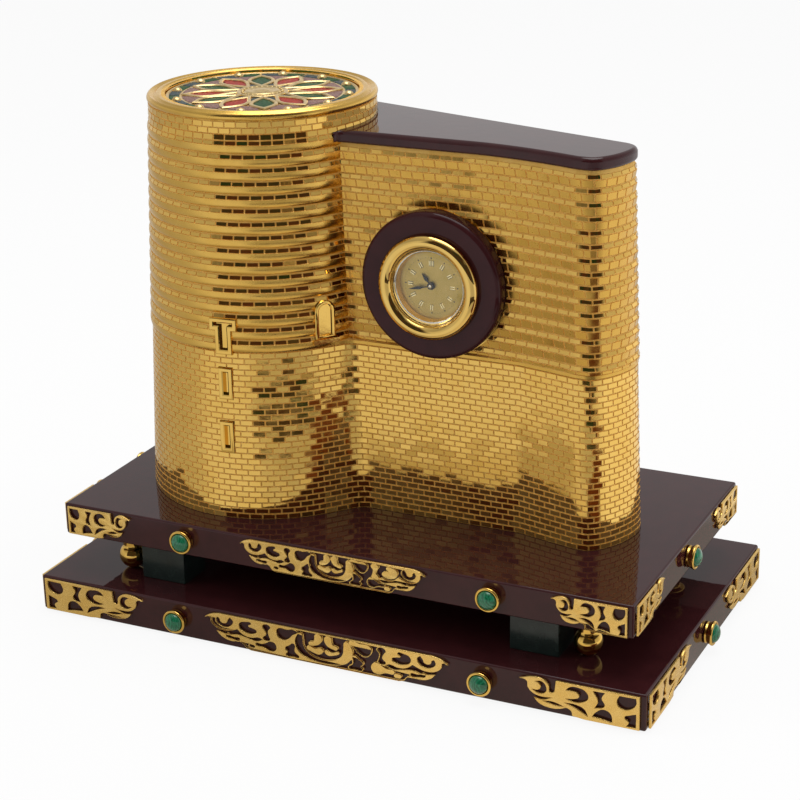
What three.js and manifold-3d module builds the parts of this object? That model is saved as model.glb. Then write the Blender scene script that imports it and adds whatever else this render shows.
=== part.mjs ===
// Table clock: a ribbed round tower with a spur wall, on a two-step lacquered base.
// Millimetres, +Z up. The origin is on the ground under the middle of the base; the front faces -Y.

import * as THREE from 'three';
import { mergeVertices } from 'three/addons/utils/BufferGeometryUtils.js';
import Module from 'manifold-3d';

const wasm = await Module();
wasm.setup();

// Clearances
const seatGap = 0.3;
const cutOverrun = 3;
const runningGap = 0.1;

// Base: felt, two slabs, ball feet and risers between them
const feltThickness = 0.8;
const feltInset = 6;
const lowerSlabWidth = 316;
const lowerSlabDepth = 173;
const lowerSlabHeight = 18.2;
const slabSpacing = 20.4;
const slabStep = 10;
const upperSlabHeight = 16.2;
const slabEdgeRadius = 1;
const ballFootRadius = 6.8;
const ballFootNeckRadius = 4.6;
const ballFootPadRadius = 7.2;
const ballFootPadHeight = 2.4;
const ballFootInsetX = 27;
const ballFootInsetY = 17;
const riserWidth = 24;
const riserDepth = 20;
const riserInsetX = 50;
const riserInsetY = 18;

// Tower
const towerX = -70.4;
const towerY = 1.9;
const towerBaseRadius = 62.5;
const towerTopRadius = 54;
const towerHeight = 197;
const plainHeight = 83.4;
const ribCount = 16;
const ribPitch = 6.3;
const ribDepth = 0.9;
const shellThickness = 3.2;
const rimHeight = 4;
const rimBulge = 1.2;
const rimWidth = 7.5;
const medallionRecess = 3;
const medallionLedge = 5;

// Spur wall, in plan, at its foot and at its top
const wallTopDrop = 17.6;
const wallFrontFoot = 23.2;
const wallFrontTop = 18.4;
const wallFrontLedge = 22.8;
const wallLedgeHeight = 2;
const wallNoseXFoot = 102;
const wallNoseXTop = 101;
const wallNoseYFoot = 30.2;
const wallNoseYTop = 27.9;
const wallEndXFoot = 123.6;
const wallEndXTop = 118.8;
const wallEndYFoot = -1;
const wallEndYTop = -4.5;
const wallCreaseX = 72;
const wallSwellX = 48;
const wallSwellShare = 1.7;
const wallBackSet = 4.3;
const wallBackAngle = -15.2;
const wallBackCorner = 6;
const wallNoseShare = 0.42;
const wallEndShare = 0.48;
const filletAnglePlain = -33;
const filletAngleRibbed = -26;

// Lacquered cap on the wall
const capThickness = 6;
const capOverhang = 1.1;

// Windows on the tower
const windowFrame = 1.3;
const windowProud = 1.1;
const ribbedWindowProud = 2;
const windowRecess = 1.4;
const slotWidth = 5.6;
const slotHeight = 14;
const slotAngle = -83.5;
const upperSlotRise = 67.8;
const lowerSlotRise = 41.2;
const teeBarWidth = 13.6;
const teeBarHeight = 5;
const teeHeight = 15.5;
const teeRise = 91.4;
const archWidth = 9.4;
const archHeight = 17;
const archAngle = -35.6;
const archRise = 97.5;
const archSill = 2.4;

// Clock: timber ring and pull-out insert
const clockX = 29.8;
const clockRise = 118;
const clockFront = 28.5;
const ringRadius = 35.2;
const ringThickness = 7.6;
const ringEdgeRadius = 2.4;
const bezelRadius = 25;
const bezelHeight = 5;
const crystalRadius = 18.2;
const crystalThickness = 1.2;
const crystalDome = 1.5;
const crystalRise = 1.7;
const flangeDepth = 3.9;
const dialThickness = 0.4;
const dialRadius = 20;
const dialHoleRadius = 1.5;
const caseRadius = 22.3;
const caseWall = 1.3;
const caseDepth = 19.5;
const backCapThickness = 1.2;
const backCapSpigot = 1.6;
const bandThickness = 1.1;
const bandWidth = 8;
const bandTop = 1.2;

// Movement
const plateDepth = 5.4;
const plateRimWidth = 1.5;
const handThickness = 0.3;
const handSpacing = 0.6;
const minuteHandLength = 11.2;
const hourHandLength = 7.2;
const handWidth = 1.7;
const hubRadius = 1.5;
const arborRadius = 0.8;
const pipeWall = 0.4;
const studRadius = 0.7;
const timeModule = 0.48;
const cannonTeeth = 10;
const motionTeeth = 30;
const pinionTeeth = 8;
const hourTeeth = 32;
const toothTipShare = 0.85;
const toothRootShare = 1.2;
const toothTipWidth = 0.1;
const toothRootWidth = 0.27;
const wheelThickness = 0.9;
const stemRadius = 1.2;
const knobRadius = 4.6;
const knobHeight = 3.2;
const batteryRadius = 5.8;
const batteryHeight = 5.4;
const batteryX = -8;
const batteryY = 5;
const shownHour = 10;
const shownMinute = 43;

// Set stones and scroll plates on the slab edges
const stoneInset = 78;
const colletRadius = 6;
const colletFootRadius = 5.1;
const colletHeight = 4.4;
const colletWall = 1.1;
const colletFloor = 0.9;
const stoneDome = 2.4;
const plateThickness = 1.3;
const plateCornerGap = 2.5;
const plateEdgeGap = 0.9;
const lowerCornerStoneGap = 12.5;
const upperCornerStoneGap = 23.5;
const lowerCentreStoneGap = 10;
const upperCentreStoneGap = 25.5;

// Medallion on the tower
const enamelThickness = 1.1;
const rosetteThickness = 1.4;
const rosettePetals = 12;
const rosetteRadius = 38;
const rosetteWaist = 31;
const petalInner = 16;
const petalOuter = 33;
const petalWidth = 7.2;
const rosetteBossRadius = 8;
const rosetteBossHeight = 2.4;

// Facets
const towerFacets = 36;
const ringFacets = 28;
const smallFacets = 14;

// Heights and faces worked out from the sizes above
const lowerSlabTop = feltThickness + lowerSlabHeight;
const upperSlabBottom = lowerSlabTop + slabSpacing;
const wallFoot = upperSlabBottom + upperSlabHeight;
const towerTop = wallFoot + towerHeight;
const ribStart = wallFoot + plainHeight;
const capBottom = towerTop - wallTopDrop;
const capTop = capBottom + capThickness;
const clockZ = wallFoot + clockRise;
const upperSlabWidth = lowerSlabWidth - 2 * slabStep;
const upperSlabDepth = lowerSlabDepth - 2 * slabStep;
const stoneX = lowerSlabWidth / 2 - stoneInset;
const seatY = -clockFront + ringThickness + seatGap;
const boreRadius = caseRadius + seatGap + bandThickness + seatGap;

const gold = { color: 0xc9a043, metalness: 1, roughness: 0.22 };
const lacquer = { color: 0x4a2429, metalness: 0, roughness: 0.12 };
const enamel = { color: 0x5d2a2a, metalness: 0.1, roughness: 0.3 };
const malachite = { color: 0x126b4a, metalness: 0, roughness: 0.15 };
const blackPaint = { color: 0x101815, metalness: 0, roughness: 0.3 };
const blackMetal = { color: 0x141414, metalness: 0.4, roughness: 0.35 };
const brass = { color: 0xb08d4a, metalness: 1, roughness: 0.35 };
const steel = { color: 0xb8bcc0, metalness: 1, roughness: 0.3 };
const plastic = { color: 0x2a2a2c, metalness: 0, roughness: 0.5 };
const rubber = { color: 0x1c1c1c, metalness: 0, roughness: 0.8 };
const glass = { color: 0xeef4f2, metalness: 0, roughness: 0.03, transparent: true, opacity: 0.3 };
const feltCloth = { color: 0x14301f, metalness: 0, roughness: 1 };

const radians = THREE.MathUtils.degToRad;
const mix = THREE.MathUtils.lerp;

// A mesh with shared corners and faces that point out.
function closed(geometry) {
  const bare = geometry.clone();
  bare.deleteAttribute('normal');
  bare.deleteAttribute('uv');
  const merged = mergeVertices(bare);
  const corners = merged.index.array;
  const kept = [];
  for (let i = 0; i < corners.length; i += 3) {
    const [a, b, c] = [corners[i], corners[i + 1], corners[i + 2]];
    if (a !== b && b !== c && c !== a) kept.push(a, b, c);
  }
  merged.setIndex(volumeOf(merged, kept) < 0 ? kept.reverse() : kept);
  return merged;
}

function volumeOf(geometry, corners) {
  const place = geometry.attributes.position;
  const [a, b, c] = [new THREE.Vector3(), new THREE.Vector3(), new THREE.Vector3()];
  let total = 0;
  for (let i = 0; i < corners.length; i += 3) {
    a.fromBufferAttribute(place, corners[i]);
    b.fromBufferAttribute(place, corners[i + 1]);
    c.fromBufferAttribute(place, corners[i + 2]);
    total += a.dot(b.cross(c));
  }
  return total;
}

function toSolid(geometry) {
  const shape = closed(geometry);
  return new wasm.Manifold(new wasm.Mesh({
    numProp: 3,
    vertProperties: shape.attributes.position.array,
    triVerts: new Uint32Array(shape.index.array),
  }));
}

function toGeometry(solid) {
  const mesh = solid.getMesh();
  const geometry = new THREE.BufferGeometry();
  geometry.setAttribute('position', new THREE.BufferAttribute(mesh.vertProperties, 3));
  geometry.setIndex(new THREE.BufferAttribute(mesh.triVerts, 1));
  return geometry;
}

function join(...geometries) {
  return toGeometry(geometries.map(toSolid).reduce((whole, piece) => whole.add(piece)));
}

function cut(geometry, ...cutters) {
  const solids = cutters.map(toSolid);
  return toGeometry(solids.reduce((whole, cutter) => whole.subtract(cutter), toSolid(geometry)));
}

// A turned piece about +Z from [radius, height] pairs.
function turned(profile, facets) {
  const points = profile.map(([radius, height]) => new THREE.Vector2(radius, height));
  return closed(new THREE.LatheGeometry(points, facets).rotateX(Math.PI / 2));
}

function turnedRing(profile, facets) {
  return turned([...profile, profile[0]], facets);
}

function disc(radius, bottom, top, facets = smallFacets) {
  return turned([[0, bottom], [radius, bottom], [radius, top], [0, top]], facets);
}

function sheet(shape, thickness) {
  return new THREE.ExtrudeGeometry(shape, { depth: thickness, bevelEnabled: false, curveSegments: 8 });
}

// A plate with softened edges that stands on its own z = 0.
function slab(width, depth, height, edge) {
  const [x, y] = [width / 2 - edge, depth / 2 - edge];
  const outline = new THREE.Shape([
    new THREE.Vector2(-x, -y), new THREE.Vector2(x, -y), new THREE.Vector2(x, y), new THREE.Vector2(-x, y)]);
  const bevel = { bevelThickness: edge, bevelSize: edge, bevelSegments: 2 };
  const options = { depth: height - 2 * edge, ...bevel };
  return new THREE.ExtrudeGeometry(outline, options).translate(0, 0, edge);
}

// A solid through stacked plan outlines that have as many points each.
function loft(rings) {
  const count = rings[0].length;
  const places = rings.flat().flatMap((point) => [point.x, point.y, point.z]);
  const corners = [];
  for (let level = 0; level + 1 < rings.length; level += 1) {
    for (let i = 0; i < count; i += 1) {
      const next = (i + 1) % count;
      const [a, b] = [level * count + i, level * count + next];
      corners.push(a, b, b + count, a, b + count, a + count);
    }
  }
  const lastRing = (rings.length - 1) * count;
  for (const [a, b, c] of THREE.ShapeUtils.triangulateShape(rings[0], [])) {
    corners.push(a, c, b);
    corners.push(a + lastRing, b + lastRing, c + lastRing);
  }
  const geometry = new THREE.BufferGeometry();
  geometry.setAttribute('position', new THREE.Float32BufferAttribute(places, 3));
  geometry.setIndex(corners);
  return geometry;
}

function meshOf(name, geometry, finish) {
  const mesh = new THREE.Mesh(closed(geometry), new THREE.MeshStandardMaterial(finish));
  mesh.geometry.computeVertexNormals();
  mesh.name = name;
  return mesh;
}

// Base

function feltSheet() {
  const edge = feltThickness / 4;
  return slab(lowerSlabWidth - 2 * feltInset, lowerSlabDepth - 2 * feltInset, feltThickness, edge);
}

// A ball on the lower slab, with a neck up to the round pad that is screwed under the upper slab.
function ballFoot() {
  const restRadius = ballFootRadius / 3;
  const restAngle = Math.asin(restRadius / ballFootRadius);
  const neckAngle = Math.PI - Math.asin(ballFootNeckRadius / ballFootRadius);
  const middle = ballFootRadius * Math.cos(restAngle);
  const profile = [[0, 0]];
  const steps = 4;
  for (let i = 0; i <= steps; i += 1) {
    const angle = mix(restAngle, neckAngle, i / steps);
    profile.push([ballFootRadius * Math.sin(angle), middle - ballFootRadius * Math.cos(angle)]);
  }
  profile.push([ballFootNeckRadius, slabSpacing - ballFootPadHeight]);
  profile.push([ballFootPadRadius, slabSpacing - ballFootPadHeight]);
  profile.push([ballFootPadRadius, slabSpacing], [0, slabSpacing]);
  return turned(profile, smallFacets);
}

function addBase(clock) {
  clock.add(meshOf('base_felt', feltSheet(), feltCloth));
  const lower = meshOf('lower_slab',
    slab(lowerSlabWidth, lowerSlabDepth, lowerSlabHeight, slabEdgeRadius), lacquer);
  lower.position.z = feltThickness;
  const upper = meshOf('upper_slab',
    slab(upperSlabWidth, upperSlabDepth, upperSlabHeight, slabEdgeRadius), lacquer);
  upper.position.z = upperSlabBottom;
  clock.add(lower, upper);
  for (const [side, signX] of [['left', -1], ['right', 1]]) {
    for (const [end, signY] of [['front', -1], ['back', 1]]) {
      const foot = meshOf(`ball_foot_${end}_${side}`, ballFoot(), gold);
      const footX = upperSlabWidth / 2 - ballFootInsetX;
      const footY = upperSlabDepth / 2 - ballFootInsetY;
      foot.position.set(signX * footX, signY * footY, lowerSlabTop);
      const riser = meshOf(`riser_${end}_${side}`,
        new THREE.BoxGeometry(riserWidth, riserDepth, slabSpacing), blackPaint);
      const riserX = upperSlabWidth / 2 - riserInsetX;
      const riserY = upperSlabDepth / 2 - riserInsetY;
      riser.position.set(signX * riserX, signY * riserY, lowerSlabTop + slabSpacing / 2);
      clock.add(foot, riser);
    }
  }
}

// Tower and wall, cast as one hollow body

function towerRadius(z) {
  return mix(towerBaseRadius, towerTopRadius, (z - wallFoot) / towerHeight);
}

// Heights of the groove and crest lines of the ribs, with how far each stands proud.
function ribLines(top) {
  const lines = [];
  for (let i = 0; i < ribCount; i += 1) {
    const groove = ribStart + i * ribPitch;
    const crest = groove + ribPitch / 2;
    if (groove + ribPitch > top) break;
    lines.push([groove, 0], [crest, ribDepth]);
  }
  return lines;
}

function towerOuter() {
  const rimFoot = towerTop - rimHeight;
  const ribTop = ribStart + ribCount * ribPitch;
  const profile = [[0, wallFoot], [towerRadius(wallFoot), wallFoot]];
  for (const [z, proud] of ribLines(towerTop)) profile.push([towerRadius(z) + proud, z]);
  profile.push([towerRadius(ribTop), ribTop], [towerRadius(rimFoot), rimFoot]);
  const rimSteps = 4;
  for (let i = 1; i <= rimSteps; i += 1) {
    const angle = mix(-Math.PI / 3, Math.PI / 2, i / rimSteps);
    const rimMiddle = rimFoot + rimHeight / 2;
    profile.push([towerTopRadius - rimHeight / 2 + rimBulge + (rimHeight / 2) * Math.cos(angle),
      rimMiddle + (rimHeight / 2) * Math.sin(angle)]);
  }
  profile.push([0, towerTop]);
  return turned(profile, towerFacets).translate(towerX, towerY, 0);
}

function towerHollow() {
  const recessRadius = towerTopRadius - rimWidth;
  const recessFloor = towerTop - medallionRecess;
  const throat = recessRadius - medallionLedge;
  const shoulder = recessFloor - shellThickness;
  const shoulderRadius = towerRadius(shoulder) - shellThickness;
  const shoulderFoot = shoulder - (shoulderRadius - throat) / 2;
  return turned([
    [0, wallFoot - cutOverrun],
    [towerBaseRadius - shellThickness, wallFoot - cutOverrun],
    [towerRadius(shoulderFoot) - shellThickness, shoulderFoot],
    [throat, shoulder],
    [throat, recessFloor],
    [recessRadius, recessFloor],
    [recessRadius, towerTop + cutOverrun],
    [0, towerTop + cutOverrun]], towerFacets).translate(towerX, towerY, 0);
}

// The concave run from the tower's side into the wall's front.
function fillet(axis, radius, front, angle) {
  const outward = new THREE.Vector2(Math.cos(angle), Math.sin(angle));
  const along = new THREE.Vector2(-outward.y, outward.x);
  const root = outward.clone().multiplyScalar(radius).add(axis);
  const reach = (front - root.y) / along.y;
  const bend = along.clone().multiplyScalar(reach).add(root);
  const end = bend.clone().add(new THREE.Vector2(reach, 0));
  const inside = outward.clone().multiplyScalar(radius - 2 * shellThickness).add(axis);
  return [inside, ...new THREE.QuadraticBezierCurve(root, bend, end).getPoints(2)];
}

// The wall's plan at one height: start in the tower, front, nose, end, back corner, back.
function wallPlan(z, { ribbed = true, proud = 0, hollow = false } = {}) {
  const rise = (z - wallFoot) / (capTop - wallFoot);
  const radius = towerRadius(z);
  const plainRise = (z - wallFoot) / plainHeight;
  const ribbedFront = mix(wallFrontFoot, wallFrontTop, rise);
  const front = -(ribbed ? ribbedFront : mix(wallFrontFoot, wallFrontLedge, plainRise));
  const nose = new THREE.Vector2(
    mix(wallNoseXFoot, wallNoseXTop, rise), -mix(wallNoseYFoot, wallNoseYTop, rise));
  const end = new THREE.Vector2(
    mix(wallEndXFoot, wallEndXTop, rise), mix(wallEndYFoot, wallEndYTop, rise));
  const axis = new THREE.Vector2(towerX, towerY);
  const filletAngle = radians(ribbed ? filletAngleRibbed : filletAnglePlain);
  const points = hollow ? [new THREE.Vector2(towerX, front)] : fillet(axis, radius, front, filletAngle);

  const curved = ribbed && !hollow;
  const swellStart = curved ? wallSwellX : wallCreaseX;
  const swellSteps = 5;
  for (let i = 0; i < swellSteps; i += 1) {
    const share = i / swellSteps;
    const lean = curved ? share ** wallSwellShare : share;
    points.push(new THREE.Vector2(mix(swellStart, nose.x, share), mix(front, nose.y, lean)));
  }

  const noseReach = (end.x - nose.x) * wallNoseShare;
  const endReach = (end.y - nose.y) * wallEndShare;
  const endCurve = new THREE.CubicBezierCurve(
    nose, new THREE.Vector2(nose.x + noseReach, nose.y), new THREE.Vector2(end.x, end.y - endReach), end);
  points.push(...endCurve.getPoints(5));

  const backAngle = radians(wallBackAngle);
  const backNormal = new THREE.Vector2(-Math.sin(backAngle), Math.cos(backAngle));
  const backRun = new THREE.Vector2(Math.cos(backAngle), Math.sin(backAngle));
  const foot = backNormal.clone().multiplyScalar(radius - wallBackSet).add(axis);
  const cornerRun = (end.x - wallBackCorner - foot.x) / backRun.x;
  const cornerEnd = backRun.clone().multiplyScalar(cornerRun).add(foot);
  const cornerBend = new THREE.Vector2(end.x, cornerEnd.y - wallBackCorner / 3);
  points.push(...new THREE.QuadraticBezierCurve(end, cornerBend, cornerEnd).getPoints(2).slice(1));
  points.push(foot);
  const moved = swell(points, hollow ? -shellThickness : proud);
  return moved.map((point) => new THREE.Vector3(point.x, point.y, z));
}

// Moves each point of a plan outward by one distance.
function swell(points, distance) {
  return points.map((point, i) => {
    const before = points[(i + points.length - 1) % points.length];
    const after = points[(i + 1) % points.length];
    const run = after.clone().sub(before).normalize();
    return new THREE.Vector2(point.x + run.y * distance, point.y - run.x * distance);
  });
}

function wallOuter() {
  const rings = [wallPlan(wallFoot, { ribbed: false }), wallPlan(ribStart, { ribbed: false })];
  for (const [z, proud] of ribLines(capBottom).slice(1)) {
    rings.push(wallPlan(Math.max(z, ribStart + wallLedgeHeight), { proud }));
  }
  rings.push(wallPlan(capBottom));
  return loft(rings);
}

function wallHollow() {
  const foot = wallPlan(wallFoot, { hollow: true }).map((point) => point.setZ(wallFoot - cutOverrun));
  return loft([foot, wallPlan(capBottom - shellThickness, { hollow: true })]);
}

// A flat shape stood on the tower's side, facing out, between two depths measured from the surface.
function onTower(shape, angle, z, inner, outer) {
  const radius = towerRadius(z);
  const turn = radians(angle);
  const piece = sheet(shape, outer - inner);
  const tangent = new THREE.Vector3(-Math.sin(turn), Math.cos(turn), 0);
  const radial = new THREE.Vector3(Math.cos(turn), Math.sin(turn), 0);
  const frame = new THREE.Matrix4().makeBasis(tangent, new THREE.Vector3(0, 0, 1), radial);
  frame.setPosition(towerX + radial.x * (radius + inner), towerY + radial.y * (radius + inner), z);
  return piece.applyMatrix4(frame);
}

function polygon(pairs) {
  return new THREE.Shape(pairs.map(([x, y]) => new THREE.Vector2(x, y)));
}

function slotShape(margin) {
  const [x, y] = [slotWidth / 2 - margin, slotHeight / 2 - margin];
  return polygon([[-x, -y], [x, -y], [x, y], [-x, y]]);
}

function teeShape(margin) {
  const stem = slotWidth / 2 - margin;
  const bar = teeBarWidth / 2 - margin;
  const top = teeHeight / 2 - margin;
  const barFoot = top - teeBarHeight + 2 * margin;
  return polygon([[-stem, -top], [stem, -top], [stem, barFoot], [bar, barFoot], [bar, top], [-bar, top],
    [-bar, barFoot], [-stem, barFoot]]);
}

function archShape(margin) {
  const half = archWidth / 2 - margin;
  const spring = archHeight / 2 - archWidth / 2;
  const foot = -archHeight / 2 + margin;
  const shape = new THREE.Shape([new THREE.Vector2(-half, foot), new THREE.Vector2(half, foot)]);
  const steps = 6;
  for (let i = 0; i <= steps; i += 1) {
    const angle = (Math.PI * i) / steps;
    shape.lineTo(half * Math.cos(angle), spring + half * Math.sin(angle));
  }
  return shape;
}

function sillShape() {
  const half = archWidth / 2 + windowFrame;
  const foot = -archHeight / 2 - archSill;
  return polygon([[-half, foot], [half, foot], [half, foot + archSill], [-half, foot + archSill]]);
}

function towerWindows() {
  return [
    [slotShape, slotAngle, wallFoot + lowerSlotRise, windowProud],
    [slotShape, slotAngle, wallFoot + upperSlotRise, windowProud],
    [teeShape, slotAngle, wallFoot + teeRise, ribbedWindowProud],
    [archShape, archAngle, wallFoot + archRise, ribbedWindowProud]];
}

function alongFront(geometry, y) {
  return geometry.rotateX(Math.PI / 2).translate(clockX, y, clockZ);
}

function casting() {
  const deepest = shellThickness / 2;
  const frames = towerWindows().map(([shape, angle, z, proud]) =>
    onTower(shape(0), angle, z, -deepest, proud));
  const sillProud = ribbedWindowProud + ribDepth;
  const sill = onTower(sillShape(), archAngle, wallFoot + archRise, -deepest, sillProud);
  const recesses = towerWindows().map(([shape, angle, z]) =>
    onTower(shape(windowFrame), angle, z, -windowRecess, cutOverrun));
  const seatDepth = shellThickness + ribDepth;
  const boss = alongFront(disc(ringRadius - seatGap, 0, seatDepth, ringFacets), seatY + seatDepth);
  const seatCut = alongFront(disc(ringRadius + seatGap, 0, clockFront, ringFacets), seatY);
  const bore = alongFront(disc(boreRadius, -ringThickness, ringThickness, ringFacets), seatY);
  const outer = join(towerOuter(), wallOuter(), boss, ...frames, sill);
  return cut(outer, towerHollow(), wallHollow(), seatCut, bore, ...recesses);
}

function wallCap() {
  const inset = capThickness / 4;
  const levels = [[capBottom, -inset / 2], [capBottom + inset, 0], [capTop - inset, 0], [capTop, -inset]];
  const block = loft(levels.map(([z, pull]) =>
    wallPlan(capBottom, { proud: capOverhang + pull }).map((point) => point.setZ(z))));
  const clearRadius = towerRadius(capBottom) + ribDepth + seatGap;
  const around = disc(clearRadius, capBottom - cutOverrun, capTop + cutOverrun, towerFacets);
  return cut(block, around.translate(towerX, towerY, 0));
}

// Medallion: enamel disc under a pierced gold rosette

function enamelDisc() {
  const radius = towerTopRadius - rimWidth - seatGap;
  return disc(radius, 0, enamelThickness, ringFacets);
}

function petalOpening(angle) {
  const reach = petalOuter - petalInner;
  const outlineShares = [[0, 0], [0.6, 0.5], [1, 0], [0.6, -0.5]];
  const [cos, sin] = [Math.cos(angle), Math.sin(angle)];
  return outlineShares.map(([out, across]) => {
    const radius = petalInner + out * reach;
    const side = across * petalWidth;
    return new THREE.Vector2(radius * cos - side * sin, radius * sin + side * cos);
  });
}

function rosette() {
  const outline = [];
  const openings = [];
  const pointsPerPetal = 4;
  for (let petal = 0; petal < rosettePetals; petal += 1) {
    const middle = (2 * Math.PI * petal) / rosettePetals;
    openings.push(petalOpening(middle));
    for (let i = 0; i < pointsPerPetal; i += 1) {
      const angle = middle + (2 * Math.PI * i) / (pointsPerPetal * rosettePetals);
      const lobe = Math.abs(Math.cos((rosettePetals * angle) / 2));
      const radius = mix(rosetteWaist, rosetteRadius, lobe);
      outline.push(new THREE.Vector2(radius * Math.cos(angle), radius * Math.sin(angle)));
    }
  }
  const boss = turned([
    [0, 0],
    [rosetteBossRadius, 0],
    [rosetteBossRadius, rosetteThickness],
    [rosetteBossRadius / 2, rosetteBossHeight],
    [0, rosetteBossHeight]], smallFacets);
  return join(pierced(outline, openings, rosetteThickness), boss);
}

function addBuilding(clock) {
  clock.add(meshOf('tower_casting', casting(), gold));
  clock.add(meshOf('wall_cap', wallCap(), lacquer));
  const plate = meshOf('medallion_plate', enamelDisc(), enamel);
  plate.position.set(towerX, towerY, towerTop - medallionRecess);
  const flower = meshOf('medallion_rosette', rosette(), gold);
  flower.position.set(towerX, towerY, towerTop - medallionRecess + enamelThickness);
  clock.add(plate, flower);
}

// Slab edge ornaments. Each face carries its pieces in a group whose +Z points out of the slab.

function collet() {
  const innerRadius = colletRadius - colletWall;
  return turned([
    [0, 0],
    [colletFootRadius, 0],
    [colletFootRadius, colletHeight / 3],
    [colletRadius, colletHeight - colletWall],
    [colletRadius, colletHeight - colletWall / 3],
    [innerRadius, colletHeight],
    [innerRadius, colletFloor],
    [0, colletFloor]], smallFacets);
}

// The dome runs from the rim to the middle, as shares of the radius and of the rise.
const domeShares = [[1, 0], [0.86, 0.5], [0.5, 0.87], [0, 1]];

function dome(radius, foot, rise) {
  return domeShares.map(([out, up]) => [radius * out, foot + rise * up]);
}

function cabochon() {
  const radius = colletRadius - colletWall - seatGap;
  const foot = colletFloor + seatGap;
  return turned([[0, foot], [radius, foot], ...dome(radius, colletHeight - colletWall / 2, stoneDome)],
    smallFacets);
}

// The corner plate runs from the slab's corner, at 0, to its curled tip, at 1.
const cornerOutlineShares = [
  [0, 0], [0, 1], [0.69, 1], [0.7, 0.64], [0.735, 0.62], [0.76, 0.92], [0.88, 1], [1, 0.88],
  [0.93, 0.8], [0.89, 0.54], [0.72, 0.45], [0.873, 0.38], [0.82, 0.2], [0.7, 0.15], [0.6, 0.24],
  [0.55, 0.04], [0.45, 0]];
const cornerOpeningShares = [
  [[0.025, 0.88], [0.025, 0.66], [0.09, 0.55], [0.15, 0.6], [0.17, 0.84]],
  [[0.025, 0.39], [0.025, 0.08], [0.1, 0.08], [0.12, 0.34]],
  [[0.29, 0.88], [0.31, 0.7], [0.29, 0.5], [0.38, 0.42], [0.365, 0.84]],
  [[0.6, 0.82], [0.51, 0.88], [0.425, 0.66], [0.5, 0.5], [0.605, 0.6]],
  [[0.28, 0.37], [0.23, 0.14], [0.31, 0.08], [0.41, 0.16], [0.33, 0.2]],
  [[0.83, 0.85], [0.8, 0.72], [0.755, 0.72], [0.775, 0.58], [0.85, 0.62]]];

// Half of the centre plate runs from the middle, at 0, to its curled tip, at 1.
const centreOutlineShares = [
  [0.9, 1], [1, 0.86], [0.94, 0.8], [0.88, 0.54], [0.76, 0.5], [0.9, 0.4], [0.84, 0.22], [0.7, 0.22],
  [0.66, 0.1], [0.42, 0]];
const centreOpeningShares = [
  [[0.88, 0.7], [0.8, 0.6], [0.76, 0.76], [0.79, 0.9], [0.82, 0.74]],
  [[0.7, 0.9], [0.59, 0.86], [0.59, 0.66], [0.67, 0.64]],
  [[0.53, 0.86], [0.46, 0.88], [0.45, 0.62], [0.54, 0.6]],
  [[0.41, 0.88], [0.26, 0.9], [0.32, 0.64]],
  [[0.55, 0.4], [0.46, 0.46], [0.45, 0.2], [0.57, 0.26]],
  [[0.34, 0.42], [0.28, 0.5], [0.25, 0.12], [0.34, 0.12]],
  [[0.2, 0.82], [0.2, 0.4], [0.06, 0.12], [0.05, 0.3], [0.14, 0.48]],
  [[0.15, 0.84], [0.07, 0.9], [0.06, 0.66]]];

function placed(shares, length, height) {
  return shares.map(([along, up]) => new THREE.Vector2(along * length, up * height));
}

// A flat plate with openings cut through it.
function pierced(outline, openings, thickness) {
  const cutters = openings.map((opening) =>
    sheet(new THREE.Shape(opening), thickness + 2 * cutOverrun).translate(0, 0, -cutOverrun));
  return cut(sheet(new THREE.Shape(outline), thickness), ...cutters);
}

function cornerPlate(length, height) {
  const openings = cornerOpeningShares.map((opening) => placed(opening, length, height));
  return pierced(placed(cornerOutlineShares, length, height), openings, plateThickness);
}

function centrePlate(length, height) {
  const half = length / 2;
  const right = placed(centreOutlineShares, half, height);
  const left = placed(centreOutlineShares, -half, height).reverse();
  const openings = [half, -half].flatMap((run) =>
    centreOpeningShares.map((opening) => placed(opening, run, height)));
  return pierced([...right, ...left], openings, plateThickness);
}

// One slab face: its width, height and bottom, its plates and its stones.
function edgeOrnaments(name, width, height, plates, stones) {
  const face = new THREE.Group();
  const plateHeight = height - 2 * plateEdgeGap;
  for (const [side, sign] of plates.corners) {
    const geometry = cornerPlate(plates.cornerLength, plateHeight).scale(-sign, 1, 1);
    const plate = meshOf(`scroll_${name}_${side}`, geometry, gold);
    plate.position.set(sign * (width / 2 - plateCornerGap), plateEdgeGap, seatGap);
    face.add(plate);
  }
  if (plates.centreLength) {
    const plate = meshOf(`scroll_${name}_centre`, centrePlate(plates.centreLength, plateHeight), gold);
    plate.position.set(0, plateEdgeGap, seatGap);
    face.add(plate);
  }
  for (const [suffix, x] of stones) {
    const cup = meshOf(`collet_${name}${suffix}`, collet(), gold);
    const stone = meshOf(`cabochon_${name}${suffix}`, cabochon(), malachite);
    for (const piece of [cup, stone]) piece.position.set(x, height / 2, seatGap);
    face.add(cup, stone);
  }
  return face;
}

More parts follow.
